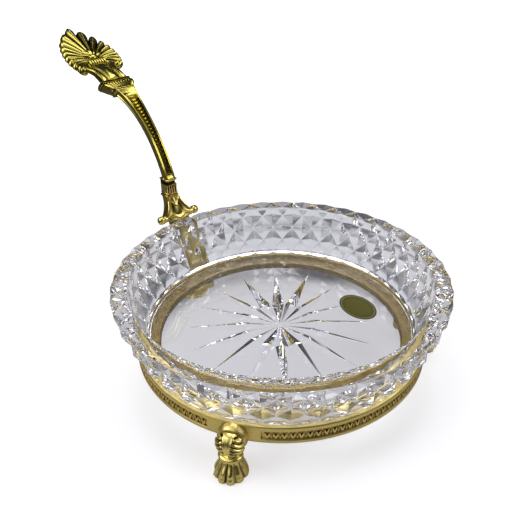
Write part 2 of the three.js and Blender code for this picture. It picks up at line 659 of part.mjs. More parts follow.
// Capital that spreads to a plate, and the broad leaf neck beyond it.
// Each station: distance along the head, width, depth, slope and squareness.
function capitalAndNeck() {
  const plate = CAPITAL_LENGTH + PLATE_THICKNESS;
  const neck = (share) => plate + share * (NECK_LENGTH - PLATE_THICKNESS);
  const stations = [
    [-0.5, PILASTER_HEAD_WIDTH, PILASTER_HEAD_DEPTH, CAPITAL_SLOPE, 0.7],
    [0, PILASTER_HEAD_WIDTH + 1, PILASTER_HEAD_DEPTH + 0.6, CAPITAL_SLOPE, 0.8],
    [1, PILASTER_HEAD_WIDTH + 1, PILASTER_HEAD_DEPTH + 0.6, CAPITAL_SLOPE, 0.8],
    [1.1, PILASTER_HEAD_WIDTH + 0.4, PILASTER_HEAD_DEPTH + 0.2, CAPITAL_SLOPE, 0.85],
    [CAPITAL_LENGTH * 0.55, (PILASTER_HEAD_WIDTH + CAPITAL_WIDTH) / 2, CAPITAL_DEPTH - 1, CAPITAL_SLOPE, 0.88],
    [CAPITAL_LENGTH - 0.1, CAPITAL_WIDTH - 0.8, CAPITAL_DEPTH - 0.4, CAPITAL_SLOPE, 0.9],
    [CAPITAL_LENGTH, CAPITAL_WIDTH, CAPITAL_DEPTH, CAPITAL_SLOPE, 0.9],
    [plate, CAPITAL_WIDTH, CAPITAL_DEPTH, CAPITAL_SLOPE, 0.9],
    [plate + 0.2, NECK_LEAF_WIDTH + 1, CAPITAL_DEPTH - 3, CAPITAL_SLOPE - 4, 0.7],
    [neck(0.28), NECK_LEAF_WIDTH, 4.6, 0.6 * HEAD_SLOPE + 0.4 * CAPITAL_SLOPE, 0.6],
    [neck(0.5), NECK_LEAF_WIDTH - 0.6, 4, HEAD_SLOPE, 0.6],
    [neck(0.68), NECK_LEAF_WIDTH + 0.8, 3.8, HEAD_SLOPE, 0.6],
    [neck(0.8), NECK_LEAF_WIDTH + 5, 3.6, HEAD_SLOPE, 0.6],
    [neck(0.92), NECK_LEAF_WIDTH + 4, 3.4, HEAD_SLOPE, 0.6],
    [neck(1) + 2, 9, 3, HEAD_SLOPE, 0.6],
  ];
  return toSolid(loft(stations.map(([distance, width, depth, slope, share]) => {
    const point = capitalFoot.clone().addScaledVector(along, distance);
    return acrossHandle(point, slope, barSection(width, depth, share));
  })));
}

// How far the fan reaches at an angle from its middle line, in degrees
function palmetteReach(angle) {
  const length = PALMETTE_LENGTH - PALMETTE_SHOULDER;
  return PALMETTE_SHOULDER + length * Math.exp(-((Math.abs(angle) / PALMETTE_SPREAD) ** 1.2));
}

// Angle of a lobe's middle, counted from the middle lobe; the outer ones are wider
function lobeAngle(lobe) {
  return lobe * (11.2 + 0.34 * Math.abs(lobe));
}

// Fan of fluted lobes about the heart of the palmette
function palmette() {
  const outer = (PALMETTE_LOBES - 1) / 2;
  const stepsPerLobe = 4;
  const columns = PALMETTE_LOBES * stepsPerLobe;
  const rowsOut = [0.12, 0.4, 0.7, 0.92, 1];
  const [forward, up] = [Math.cos(radians(PALMETTE_SLOPE)), Math.sin(radians(PALMETTE_SLOPE))];
  const place = (u, v, lift) => [
    palmetteHeart.x + u * forward - lift * up, v, palmetteHeart.y + u * up + lift * forward,
  ];
  // Each column is a closed loop over the top, round the edge and back below.
  const rings = [];
  for (let column = 0; column <= columns; column += 1) {
    const lobe = column / stepsPerLobe - outer - 0.5;
    const crest = Math.sqrt(Math.abs(Math.cos(Math.PI * (lobe - Math.round(lobe)))));
    const angle = lobeAngle(lobe);
    const reach = palmetteReach(angle) * (1 - 0.08 * (1 - crest));
    const at = (share, lift) => place(
      reach * share * Math.cos(radians(angle)),
      reach * share * Math.sin(radians(angle)),
      lift,
    );
    const top = rowsOut.map((share) => {
      const edge = share === 1 ? 0.9 : 0;
      return at(share, 0.5 + 1.3 * share * crest - 1.1 * share * (1 - crest) - edge);
    });
    const bottom = rowsOut.map((share) => at(share, -PALMETTE_THICKNESS + 1.6 * share + 0.5 * share * crest));
    rings.push([...top, ...bottom.reverse()]);
  }
  return toSolid(loft(rings));
}

function palmetteHeartAndVolutes() {
  const lay = (geometry, u, v, lift) => geometry
    .translate(u, v, lift)
    .rotateY(-radians(PALMETTE_SLOPE))
    .translate(palmetteHeart.x, 0, palmetteHeart.y);
  const heart = lay(new THREE.SphereGeometry(4, 14, 8).scale(1.3, 1, 0.8), 1, 0, 0.2);
  const volutes = [-1, 1].map((side) => (
    lay(new THREE.SphereGeometry(VOLUTE_RADIUS, 12, 8).scale(1.1, 1, 0.8), -VOLUTE_SET_BACK, side * VOLUTE_SPREAD / 2, -1)
  ));
  return joinAll([heart, ...volutes]);
}

function handle() {
  let solid = strap()
    .add(skirt())
    .add(slottedBlock())
    .add(pilaster())
    .add(capitalAndNeck())
    .add(palmette())
    .add(palmetteHeartAndVolutes());
  for (const side of handleScrewSides) {
    const room = outward(screwRoom(BAND_THICKNESS + SEAT_GAP + STRAP_THICKNESS + 1), side);
    solid = solid.subtract(toSolid(room));
  }
  return mesh('handle', toGeometry(solid), giltBrass);
}

// The assembly

const mount = new THREE.Group();
mount.add(galleryRing(), handle());
for (const [side, degrees] of Object.entries(footAngles)) {
  const angle = radians(degrees);
  const footScrew = screw(`foot_screw_${side}`, footScrewLength);
  footScrew.position.set(screwCircle * Math.cos(angle), screwCircle * Math.sin(angle), ledgeTop);
  footScrew.rotation.z = angle;
  mount.add(pawFoot(`paw_foot_${side}`, angle), footScrew);
}
handleScrewSides.forEach((side, i) => {
  const handleScrew = screw(`handle_screw_${i === 0 ? 'right' : 'left'}`, handleScrewLength);
  handleScrew.rotation.y = -Math.PI / 2;
  handleScrew.position.set(bandInner, side, handleScrewHeight);
  mount.add(handleScrew);
});

const liftOut = new THREE.Group();
liftOut.add(glassBowl(), foilLabel());

const dish = new THREE.Group();
dish.add(mount, liftOut);
dish.updateMatrixWorld(true);
const box = new THREE.Box3().setFromObject(dish, true);
const centre = box.getCenter(new THREE.Vector3());
dish.position.set(-centre.x, -centre.y, -box.min.z);

export default dish;
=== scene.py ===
# %% [markdown]
# # A trinket dish of cut crystal in a gilt brass mount
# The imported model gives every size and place. Here its pieces get the carving and the
# finish that are too fine for the solids: the facets and the star of the crystal bowl,
# the band of small leaves round the ring, three paws, and a handle that ends in a
# palmette. All pieces are modelled in millimetres about the upright axis of the ring,
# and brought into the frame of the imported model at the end.

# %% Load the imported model
from functools import partialmethod
from math import asin, atan2, cos, degrees, exp, hypot, pi, radians, sin, sqrt, tau

import bpy
import bmesh
from mathutils import Matrix, Vector


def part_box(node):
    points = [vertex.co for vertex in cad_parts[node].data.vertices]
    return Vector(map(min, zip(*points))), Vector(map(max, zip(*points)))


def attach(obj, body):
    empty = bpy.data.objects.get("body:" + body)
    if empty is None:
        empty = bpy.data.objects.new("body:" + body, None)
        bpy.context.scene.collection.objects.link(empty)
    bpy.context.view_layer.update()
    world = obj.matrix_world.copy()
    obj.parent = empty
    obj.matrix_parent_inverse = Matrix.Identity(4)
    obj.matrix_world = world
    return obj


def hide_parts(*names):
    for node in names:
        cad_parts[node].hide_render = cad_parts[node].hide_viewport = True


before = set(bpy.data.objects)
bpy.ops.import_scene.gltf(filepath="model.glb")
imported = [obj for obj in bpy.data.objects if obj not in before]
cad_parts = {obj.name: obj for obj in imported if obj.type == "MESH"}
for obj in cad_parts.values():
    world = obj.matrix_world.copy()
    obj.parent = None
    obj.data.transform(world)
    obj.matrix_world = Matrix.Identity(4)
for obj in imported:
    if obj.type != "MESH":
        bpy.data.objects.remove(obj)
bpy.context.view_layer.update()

# %% [markdown]
# ## Where the axis of the ring lies
# The screw of the rear foot stands at a known distance from the axis, so the middle of
# its box tells where the axis is. One matrix then turns millimetres about that axis
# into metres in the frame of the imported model.

# %% The axis and the heights
SCREW_CIRCLE = 59.35
low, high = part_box("foot_screw_rear")
AXIS_X = (low.x + high.x) / 2 - SCREW_CIRCLE / 1000
INTO_FRAME = Matrix.Translation((AXIS_X, 0, 0)) @ Matrix.Scale(0.001, 4)

# Heights above the table, in millimetres
RIM_Z = 48.5
BOWL_Z = 17.5
RING_TOP = 22.5
RING_FOOT = 13.8
print("axis at x =", round(AXIS_X * 1000, 3), "mm")

# %% [markdown]
# ## Writing shaders as sums
# A node material is easier to read as an expression. A Field wraps one output socket,
# and the usual operators on it add Math nodes. Most other nodes come from one method of
# the Finish that is being made, which takes the node's type, the output that is wanted,
# its settings, and its inputs in their order or by name.


# %% A socket with arithmetic
class Field:
    def __init__(self, tree, socket):
        self.tree = tree
        self.socket = socket

    def maths(self, operation, *others, swapped=False):
        node = self.tree.nodes.new("ShaderNodeMath")
        node.operation = operation
        terms = [self, *others]
        for entry, term in zip(node.inputs, reversed(terms) if swapped else terms):
            connect(self.tree, entry, term)
        return Field(self.tree, node.outputs[0])

    def step(self, low_edge, high_edge):
        """0 below one value, 1 above the other and smooth between them."""
        node = self.tree.nodes.new("ShaderNodeMapRange")
        node.interpolation_type = "SMOOTHSTEP"
        connect(self.tree, node.inputs["Value"], self)
        node.inputs["From Min"].default_value = low_edge
        node.inputs["From Max"].default_value = high_edge
        return Field(self.tree, node.outputs["Result"])

    __add__ = __radd__ = partialmethod(maths, "ADD")
    __sub__ = partialmethod(maths, "SUBTRACT")
    __rsub__ = partialmethod(maths, "SUBTRACT", swapped=True)
    __mul__ = __rmul__ = partialmethod(maths, "MULTIPLY")
    __truediv__ = partialmethod(maths, "DIVIDE")
    __pow__ = partialmethod(maths, "POWER")


def connect(tree, entry, term):
    """Puts a Field, a number or a colour into an input socket."""
    if isinstance(term, Field):
        tree.links.new(term.socket, entry)
    else:
        entry.default_value = term


# %% A material or a world as a tree of nodes
class Finish:
    def __init__(self, owner):
        owner.use_nodes = True
        self.tree = owner.node_tree
        self.tree.nodes.clear()

    def node(self, kind, output=0, settings=None, inputs=(), **named):
        made = self.tree.nodes.new("ShaderNode" + kind)
        for key, value in (settings or {}).items():
            setattr(made, key, value)
        for entry, term in zip(made.inputs, inputs):
            connect(self.tree, entry, term)
        for key, term in named.items():
            connect(self.tree, made.inputs[key.replace("_", " ")], term)
        return Field(self.tree, made.outputs[output])

    def noise(self, scale, detail):
        """Cloudy noise on the object's own coordinates, which are in metres."""
        spot = self.node("TexCoord", "Object")
        return self.node("TexNoise", "Fac", Vector=spot, Scale=scale, Detail=detail)

    def ray(self, kind):
        """1 for one kind of ray, such as Camera or Glossy, and 0 for the others."""
        return self.node("LightPath", f"Is {kind} Ray")

    def blend(self, share, first, second):
        mix = self.tree.nodes.new("ShaderNodeMix")
        mix.data_type = "RGBA"
        for name, term in (("Factor", share), ("A", first), ("B", second)):
            entry = [s for s in mix.inputs if s.name == name and s.enabled][0]
            connect(self.tree, entry, term)
        return Field(self.tree, [s for s in mix.outputs if s.enabled][0])

    def finish(self, shader, kind="OutputMaterial"):
        end = self.tree.nodes.new("ShaderNode" + kind)
        self.tree.links.new(shader.socket, end.inputs["Surface"])


def new_finish(name):
    material = bpy.data.materials.new(name)
    return material, Finish(material)


# %% A new object from its data, or from a bmesh
def put_in_scene(name, data):
    made = bpy.data.objects.new(name, data)
    bpy.context.scene.collection.objects.link(made)
    return made


def loose_object(name, bm):
    mesh = bpy.data.meshes.new(name)
    bm.to_mesh(mesh)
    bm.free()
    return put_in_scene(name, mesh)


# %% [markdown]
# ## Gilt brass
# Cast brass is gilded and polished. The finish paints shade into the recesses: the Ambient
# Occlusion node finds them, as it is low where the surface nearly touches itself. Carving
# too shallow for that carries a painted-shade mark of its own, an attribute on its points,
# and the darker of the two wins. The gold stays smooth, with a faint waviness from the
# polishing wheel, and is rougher where it is painted dark.


# %% Gilt brass, polished and satin
SHADE_DARK = (0.035, 0.024, 0.006, 1)


def brass(name, gold, smooth, reach=1.4, shade=(0.3, 0.75), dark=SHADE_DARK, waves=0.06):
    """Reach, how far recesses to paint shade into are looked for, and waves, their height, are in
    millimetres.
    """
    material, paint = new_finish(name)
    # Painted shade: the gold turns to the dark colour, a little unevenly, where the Ambient Occlusion node
    # finds a recess or where the points carry a shade mark.
    cavity = paint.node("AmbientOcclusion", "AO", {"samples": 8, "only_local": True}, Distance=reach / 1000)
    blotch = paint.noise(420, 4)
    marked = paint.node("Attribute", "Fac", {"attribute_name": "recess_shade"})
    hollow = (1 - cavity.step(*shade)).maths("MAXIMUM", marked)
    recess_shade = hollow * (0.75 + 0.5 * blotch)
    cloud = paint.noise(95, 2).step(0.35, 0.7)
    warm = tuple(0.84 * c for c in gold[:3]) + (1,)
    body = paint.blend(cloud * 0.5, gold, warm)
    color = paint.blend(recess_shade.step(0.05, 0.95), body, dark)
    rough = smooth + 0.08 * blotch + 0.25 * recess_shade
    ripple = 0.3 * paint.noise(900, 2) + 0.7 * paint.noise(160, 2)
    normal = paint.node("Bump", "Normal", Height=ripple, Distance=waves / 1000)
    paint.finish(paint.node("BsdfPrincipled", Base_Color=color, Metallic=1.0, Roughness=rough, Normal=normal))
    return material


gilt = brass("gilt_brass", (0.62, 0.53, 0.11, 1), 0.13)
fine_gilt = brass("fine_gilt_brass", (0.64, 0.54, 0.115, 1), 0.13, reach=0.6, shade=(0.15, 0.6))
# A darker copy of the gilt, for the strap behind the bowl.
dark_gilt = brass("dark_gilt_brass", (0.34, 0.27, 0.1, 1), 0.35)
warm_gilt = brass("warm_gilt_brass", (0.85, 0.67, 0.2, 1), 0.17)
# A lighter copy of the gilt for the paws: painted light, since they reflect mostly the dark floor.
painted_lit_gilt = brass("painted_lit_gilt_brass", (0.97, 0.78, 0.26, 1), 0.19)
# A lighter copy of the gilt for the block: painted light on its bars.
crisp_lit_gilt = brass("crisp_lit_gilt_brass", (0.99, 0.82, 0.3, 1), 0.2, reach=0.5, shade=(0.05, 0.35))
satin = brass("satin_brass", (0.86, 0.68, 0.24, 1), 0.32, 1.0, (0.25, 0.7), (0.09, 0.045, 0.012, 1), 0.04)
screw_brass = brass("screw_brass", (0.5, 0.39, 0.16, 1), 0.3, reach=1.0, shade=(0.3, 0.8), waves=0.02)
print("finishes of brass:", [material.name for material in bpy.data.materials if "brass" in material.name])

# %% [markdown]
# ## Lead crystal
# Cut crystal is clear glass with a high index of refraction. Its whole look comes from
# the facets, which bend and reflect what stands round it. A little haze is left on the
# polished cuts, so roughness varies slightly over the surface. Its shadow is nearly
# clear, because light passes through it to the floor.

# %% The crystal
crystal, paint = new_finish("crystal")
haze = paint.noise(260, 3).step(0.45, 0.8)
crystal_tint = paint.blend(haze, (0.985, 0.985, 1, 1), (0.955, 0.96, 0.98, 1))
cut_glass = paint.node(
    "BsdfPrincipled", Base_Color=crystal_tint, Roughness=0.012 * haze, IOR=1.545, Transmission_Weight=1.0,
)
let_through = paint.node("BsdfTransparent", Color=(0.86, 0.86, 0.88, 1))
paint.finish(paint.node("MixShader", inputs=(paint.ray("Shadow"), cut_glass, let_through)))
print("finish of the bowl:", crystal.name)

# %% [markdown]
# ## The foil label
# A small oval of printed foil, olive gold, with a pale line round it. Its middle is bare.
# The line follows the oval, so the position is first measured along the oval's own axes.

# %% The foil
foil, paint = new_finish("foil")
label_low, label_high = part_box("foil_label")
label_middle = (label_low + label_high) / 2
LABEL_TURN = radians(-11.5)
HALF_LENGTH = 0.01075
HALF_WIDTH = 0.0076
spot = paint.node("TexCoord", "Object")
from_middle = paint.node("VectorMath", 0, {"operation": "SUBTRACT"}, (spot, label_middle))
turned = paint.node("Mapping", 0, {"vector_type": "TEXTURE"}, Vector=from_middle, Rotation=(0, 0, LABEL_TURN))
lengthwise = paint.node("SeparateXYZ", "X", Vector=turned)
crosswise = Field(paint.tree, lengthwise.socket.node.outputs["Y"])
out = ((lengthwise / HALF_LENGTH) ** 2 + (crosswise / HALF_WIDTH) ** 2) ** 0.5
line = out.step(0.86, 0.875) * (1 - out.step(0.905, 0.92))
grain = paint.noise(1500, 2)
olive = paint.blend(grain, (0.135, 0.125, 0.018, 1), (0.2, 0.185, 0.035, 1))
edge = paint.blend(out.step(0.55, 1.0), olive, (0.1, 0.09, 0.014, 1))
color = paint.blend(line * 0.75, edge, (0.5, 0.47, 0.22, 1))
paint.finish(paint.node("BsdfPrincipled", Base_Color=color, Metallic=0.55, Roughness=0.35 + 0.15 * grain))
print("foil label at", [round(c * 1000, 1) for c in label_middle])

# %% [markdown]
# ## The camera
# The photograph was taken from above and in front. Its place follows from the circles of
# the rim and the ring: they fix the angle it looks down at, its distance in millimetres
# and its focal length. The middle of the rim isn't in the middle of the picture, so two
# small turns bring it to its own pixel.

# %% The photograph's camera
ELEVATION = 0.5689077
RANGE = 279.13
FOCAL_PIXELS = 624.59
RIM_PIXEL = (279.93, 274.92)
HANDLE_BEARING = radians(131.5)
PICTURE = 512
SENSOR = 36


def photo_camera():
    lens = bpy.data.cameras.new("photo_camera")
    lens.sensor_width = SENSOR
    lens.lens = SENSOR * FOCAL_PIXELS / PICTURE
    lens.clip_start = 0.01
    camera = put_in_scene("photo_camera", lens)
    aside, down = Vector([(pixel - PICTURE / 2) / FOCAL_PIXELS for pixel in RIM_PIXEL])
    yaw = atan2(aside, 1)
    pitch = atan2(-down, hypot(aside, 1))
    turn = Matrix.Rotation(-pitch, 4, "X") @ Matrix.Rotation(yaw, 4, "Y")
    stand = Matrix.Rotation(pi / 2 - ELEVATION, 4, "X")
    place = Matrix.Translation((0, -RANGE * cos(ELEVATION), RANGE * sin(ELEVATION)))
    round_dish = Matrix.Translation((0, 0, RIM_Z)) @ Matrix.Rotation(-HANDLE_BEARING, 4, "Z")
    move = INTO_FRAME @ round_dish @ place @ stand @ turn
    camera.matrix_world = Matrix.Translation(move.translation) @ move.to_quaternion().to_matrix().to_4x4()
    bpy.context.scene.camera = camera
    return camera


camera = photo_camera()
print("camera at", [round(c, 4) for c in camera.matrix_world.translation])


# %% [markdown]
# ## Floor, backdrop and light
# A cut-crystal piece shows its studio, so the studio is part of the picture: a white
# floor, wide soft lamps and a dim room that gives the facets and the gold their darks.
# Light Path tells which ray looks. For the camera the floor glows, so it comes out white,
# and the rest of its brightness is lit, so it keeps the shadow of the dish. For the gold
# it is darker, and for rays through the glass it has pale and dark patches. The room is
# split in the same way. Rays bent by glass also count as glossy, so glass comes last.


# %% The floor
def studio_floor():
    bm = bmesh.new()
    bmesh.ops.create_grid(bm, x_segments=1, y_segments=1, size=6)
    floor = loose_object("studio_floor", bm)
    material, paint = new_finish("studio_white")
    spot = paint.node("TexCoord", "Object")
    from_axis = paint.node("Mapping", Vector=spot, Location=(-AXIS_X, 0, 0))
    radius = paint.node("VectorMath", "Value", {"operation": "LENGTH"}, Vector=from_axis)
    under = 1 - radius.step(0.058, 0.074)
    near = 1 - radius.step(0.1, 0.17)
    belt = radius.step(0.1, 0.125) * (1 - radius.step(0.17, 0.2))
    patches = (paint.noise(15, 1).step(0.42, 0.58) * 0.7 * (1 - under)).maths("MAXIMUM", belt * 0.85)
    for_glass = paint.blend(patches, (0.22, 0.22, 0.25, 1), (0.95, 0.95, 1, 1))
    for_metal = paint.blend(near, (0.13, 0.13, 0.12, 1), (0.8, 0.8, 0.78, 1))
    tint = paint.blend(paint.ray("Glossy"), (0.8, 0.8, 0.81, 1), for_metal)
    tint = paint.blend(paint.ray("Transmission"), tint, for_glass)
    lit = paint.node("BsdfDiffuse", Color=tint)
    for_camera = paint.ray("Camera") * (0.6 + 0.3 * radius.step(0.15, 0.6))
    # Painted light: for rays through the glass the floor also glows, most under the bowl and a little in a
    # belt round it, so it looks brighter there than its lamps make it.
    shown = for_camera + paint.ray("Transmission") * (0.14 * belt + 0.63 * under)
    glow = paint.node("Emission", Color=(0.97, 0.97, 1, 1), Strength=shown)
    paint.finish(paint.node("AddShader", inputs=(lit, glow)))
    floor.data.materials.append(material)


studio_floor()
print("floor laid")


# %% The lamps
def toward(bearing, height):
    """The direction at a bearing and a height, in degrees."""
    a, e = radians(bearing), radians(height)
    return Vector((cos(a) * cos(e), sin(a) * cos(e), sin(e)))


def softbox(name, bearing, height, size, power):
    """A square lamp that faces the dish."""
    light = bpy.data.lights.new(name, "AREA")
    light.shape = "SQUARE"
    light.size = size
    light.energy = power
    lamp = put_in_scene(name, light)
    lamp.location = toward(bearing, height) * LAMP_DISTANCE
    lamp.rotation_euler = (-lamp.location).to_track_quat("-Z", "Y").to_euler()


LAMP_DISTANCE = 1.2
CAMERA_BEARING = -90 - degrees(HANDLE_BEARING)
softbox("window_left", CAMERA_BEARING - 75, 42, 0.7, 3.6)
softbox("window_right", CAMERA_BEARING + 80, 38, 0.5, 2.2)
softbox("window_above", CAMERA_BEARING + 180, 72, 0.6, 3.4)
print("lamps:", [light.name for light in bpy.data.lights])

# %% The room
world = bpy.data.worlds.new("room")
bpy.context.scene.world = world
paint = Finish(world)
direction = paint.node("TexCoord", "Generated")
up = paint.node("SeparateXYZ", "Z", Vector=direction)
wall = 1 - up.step(0.1, 0.55)
room = paint.blend(wall, (0.18, 0.18, 0.19, 1), (0.5, 0.5, 0.52, 1))


def room_cloud(scale, low_edge, high_edge):
    return paint.node("TexNoise", "Fac", Vector=direction, Scale=scale, Detail=1.0).step(low_edge, high_edge)


cloudy = room_cloud(2.6, 0.4, 0.62) * (0.04 + 0.96 * up.step(0.06, 0.36))
for_glass = paint.blend(cloudy, (0.05, 0.05, 0.06, 1), (0.66, 0.66, 0.74, 1))


def lit_patch(bearing, height, inner, outer):
    """1 around a direction of the room and 0 beyond, for a wide soft window."""
    middle = toward(bearing, height)
    aim = paint.node("VectorMath", "Value", {"operation": "DOT_PRODUCT"}, (direction, middle))
    return aim.step(cos(radians(outer)), cos(radians(inner)))


mottled = 0.7 + 0.6 * room_cloud(2.4, 0.35, 0.65)
windows = 0.85 * lit_patch(85, 50, 22, 46) + 0.5 * lit_patch(-131, 38, 14, 38)
bright = (windows * mottled).maths("MINIMUM", 1.0)
for_gold = paint.blend(bright, (0.03, 0.03, 0.028, 1), (1, 1, 0.97, 1))
color = paint.blend(paint.ray("Transmission"), paint.blend(paint.ray("Glossy"), room, for_gold), for_glass)
color = paint.blend(paint.ray("Camera"), color, (1, 1, 1, 1))
paint.finish(paint.node("Background", Color=color, Strength=1.0), "OutputWorld")
print("room lit")

# %% How light is followed
# Rays cross many facets in cut glass, so they may be bent more often than is usual.
bpy.context.scene.view_settings.view_transform = "Standard"
cycles = bpy.context.scene.cycles
cycles.caustics_refractive = False
cycles.max_bounces = 24
cycles.transmission_bounces = 20
cycles.glossy_bounces = 16
print("bounces through glass:", cycles.transmission_bounces)

# %% [markdown]
# ## Placing a finished piece
# Every piece is modelled in millimetres. The helper below closes its seams, turns its
# faces outwards, brings it into the frame and tells which body carries it. The helpers
# after it serve many pieces: they shift and turn points, spin an outline into a round
# form, and take a loose part into the mesh of its piece.


# %% From a bmesh to a piece
def piece(name, bm, material, body="mount", sharp=35, weld=0.002):
    """Edges sharper than the angle sharp, in degrees, stay sharp. None keeps the faces as they are."""
    bmesh.ops.remove_doubles(bm, verts=bm.verts, dist=weld)
    bmesh.ops.recalc_face_normals(bm, faces=bm.faces)
    bmesh.ops.transform(bm, matrix=INTO_FRAME, verts=bm.verts)
    made = loose_object(name, bm)
    mesh = made.data
    mesh.materials.append(material)
    if sharp is not None:
        for polygon in mesh.polygons:
            polygon.use_smooth = True
        mesh.set_sharp_from_angle(angle=radians(sharp))
    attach(made, body)
    print(name, len(mesh.polygons), "faces")
    return made


# %% Turning, spinning and joining
def shift(bm, verts, by):
    bmesh.ops.translate(bm, verts=verts, vec=by)


def swing(bm, verts, angle, axis="Z"):
    """Turns points about an axis through the origin, by an angle in radians."""
    bmesh.ops.rotate(bm, verts=verts, cent=(0, 0, 0), matrix=Matrix.Rotation(angle, 3, axis))


def spun(bm, outline, steps):
    """Turns an outline of (radius, height) points all the way round the axis."""
    verts = [bm.verts.new((r, 0, z)) for r, z in outline]
    edges = [bm.edges.new(pair) for pair in zip(verts, verts[1:])]
    bmesh.ops.spin(
        bm, geom=verts + edges, cent=(0, 0, 0), axis=(0, 0, 1), angle=tau, steps=steps, use_merge=True,
    )


def round_part(outline, steps, turns, place):
    """A spun part, turned about one axis after another and then moved."""
    part = bmesh.new()
    spun(part, outline, steps)
    for angle, axis in turns:
        swing(part, part.verts, angle, axis)
    shift(part, part.verts, place)
    return part


def take_in(bm, part):
    """Adds one bmesh to another."""
    carrier = bpy.data.meshes.new("carrier")
    part.to_mesh(carrier)
    part.free()
    bm.from_mesh(carrier)
    bpy.data.meshes.remove(carrier)


# %% Skinning a stack of rings
def shade_layer(bm):
    """Painted shade for the carving, from 0 to 1; the brass finish reads it."""
    layers = bm.verts.layers.float
    return layers.get("recess_shade") or layers.new("recess_shade")


def loft(bm, rings):
    """A skin over rings of (x, y, z) or (x, y, z, painted shade) points."""
    mark = shade_layer(bm)
    loops = []
    for points in rings:
        verts = [bm.verts.new(point[:3]) for point in points]
        for vert, point in zip(verts, points):
            vert[mark] = point[3] if len(point) > 3 else 0.0
        loops.append([bm.edges.new(pair) for pair in zip(verts, verts[1:] + verts[:1])])
    for near, far in zip(loops, loops[1:]):
        bmesh.ops.bridge_loops(bm, edges=near + far)
    for end in (loops[0], loops[-1]):
        bmesh.ops.contextual_create(bm, geom=end)


# %% Small sums
def lerp(a, b, t):
    return a + (b - a) * t


def shares(steps):
    """Evenly spaced shares from 0 to 1."""
    return [step / steps for step in range(steps + 1)]


def clamp(x):
    return max(0.0, min(1.0, x))


def swell(x, middle, width):
    """A smooth hump of height 1."""
    return exp(-((x - middle) / width) ** 2)


def dome(x):
    """The height of a round hump, 1 in its middle and 0 from 1 on."""
    return sqrt(max(0.0, 1 - x ** 2))


def mirrored(points):
    """The other half of an outline that is the same on both sides."""
    return [(-side, *rest) for side, *rest in reversed(points)]


# %% [markdown]
# ## The crystal bowl
# The bowl is blown and ground round, then its wall is cut with two families of slanted
# grooves that leave pyramids between them. A spun profile gives the round body. Its
# outer wall has one ring of points for each row of the pattern: every second point is
# the tip of a pyramid and stays, and the others, where two grooves cross, are pushed
# in. Joining the crossings across each quad turns the wall into facets.

# %% Sizes of the bowl
RIM_R = 75.0
RIM_WIDTH = 7.5
WALL_CURVE = 1.7
WALL_DRAW = 9.2
INNER_DRAW = 8.0
SHOULDER_Z = 23.1
FLOOR_Z = 23.5
FLOOR_FILLET = 2.6
BASE_R = 62.1
DIAMONDS = 40
ROWS = 4
GROOVE = 2.2
RIM_NOTCH = 0.4
INNER_NOTCH = 0.25
BOWL_TURN = radians(6.9)


def wall_radius(top, draw, depth):
    """The radius at a depth under the rim: the wall draws in more and more."""
    return top - draw * (depth / (RIM_Z - SHOULDER_Z)) ** WALL_CURVE


print("radius of the wall at the shoulder:", round(wall_radius(RIM_R, WALL_DRAW, RIM_Z - SHOULDER_Z), 1))


# %% The outline of the bowl
def outer_wall():
    """One point for each row of the pattern, from the rim down."""
    rows = [RIM_Z - (RIM_Z - SHOULDER_Z) * share for share in shares(ROWS)]
    return [(wall_radius(RIM_R, WALL_DRAW, RIM_Z - z), z) for z in rows]


def inner_wall():
    """The smooth inside, from the rim down and round the fillet to the floor."""
    foot = FLOOR_Z + FLOOR_FILLET
    inner = []
    for share in shares(8):
        z = RIM_Z + (foot - RIM_Z) * share
        inner.append((wall_radius(RIM_R - RIM_WIDTH, INNER_DRAW, RIM_Z - z), z))
    corner = inner[-1][0] - FLOOR_FILLET
    for share in shares(6)[1:]:
        turn = share * pi / 2
        inner.append((corner + FLOOR_FILLET * cos(turn), foot - FLOOR_FILLET * sin(turn)))
    return inner


# %% The cut wall
def column_of(vert):
    """The number of the upright line of points that a point is on."""
    return round(atan2(vert.co.y, vert.co.x) / tau * 2 * DIAMONDS) % (2 * DIAMONDS)


def push_in(bm, outer, inner_radius):
    """Pushes in the points where grooves cross, notches the rim, and returns those points."""
    near = 0.01
    crossings = []
    for vert in bm.verts:
        radius = hypot(vert.co.x, vert.co.y)
        column = column_of(vert)
        for row, (wall, z) in enumerate(outer):
            if abs(vert.co.z - z) < near and abs(radius - wall) < near and (column + row) % 2 == 0:
                depth = RIM_NOTCH if row in (0, ROWS) else GROOVE
                vert.co.xy *= (radius - depth) / radius
                vert.co.z -= RIM_NOTCH if row == 0 else 0
                crossings.append(vert)
        if abs(vert.co.z - RIM_Z) < near and abs(radius - inner_radius) < near and column % 2 == 0:
            vert.co.z -= INNER_NOTCH
    return crossings


def cut_bowl():
    bm = bmesh.new()
    outer, inner = outer_wall(), inner_wall()
    base = [(BASE_R, SHOULDER_Z), (BASE_R, BOWL_Z + 0.7), (BASE_R - 0.7, BOWL_Z)]
    spun(bm, [(0, FLOOR_Z)] + inner[::-1] + outer + base + [(0, BOWL_Z)], 2 * DIAMONDS)
    bmesh.ops.remove_doubles(bm, verts=bm.verts, dist=0.001)
    bmesh.ops.connect_verts(bm, verts=push_in(bm, outer, inner[0][0]))
    bmesh.ops.recalc_face_normals(bm, faces=bm.faces)
    for face in bm.faces:
        widest = max(hypot(v.co.x, v.co.y) for v in face.verts)
        level = abs(face.normal.z) > 0.999
        face.smooth = widest < RIM_R - RIM_WIDTH + 0.1 and not level
    return bm


# %% [markdown]
# The star under the floor is ground with the edge of a wheel: each ray is a long kite,
# deepest where it is broadest. Sixteen kites are cut out of the bowl with a Boolean
# modifier, and the result is kept as the bowl's mesh. They are wider and deeper than in
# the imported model, because the bright and dark rays come from how steep their sides are.

# %% The star
RAYS = 16
RAY_START = 1.2
RAY_MIDDLE = 16
RAY_END = 45
RAY_HALF = 2.9
RAY_DEPTH = 2.4


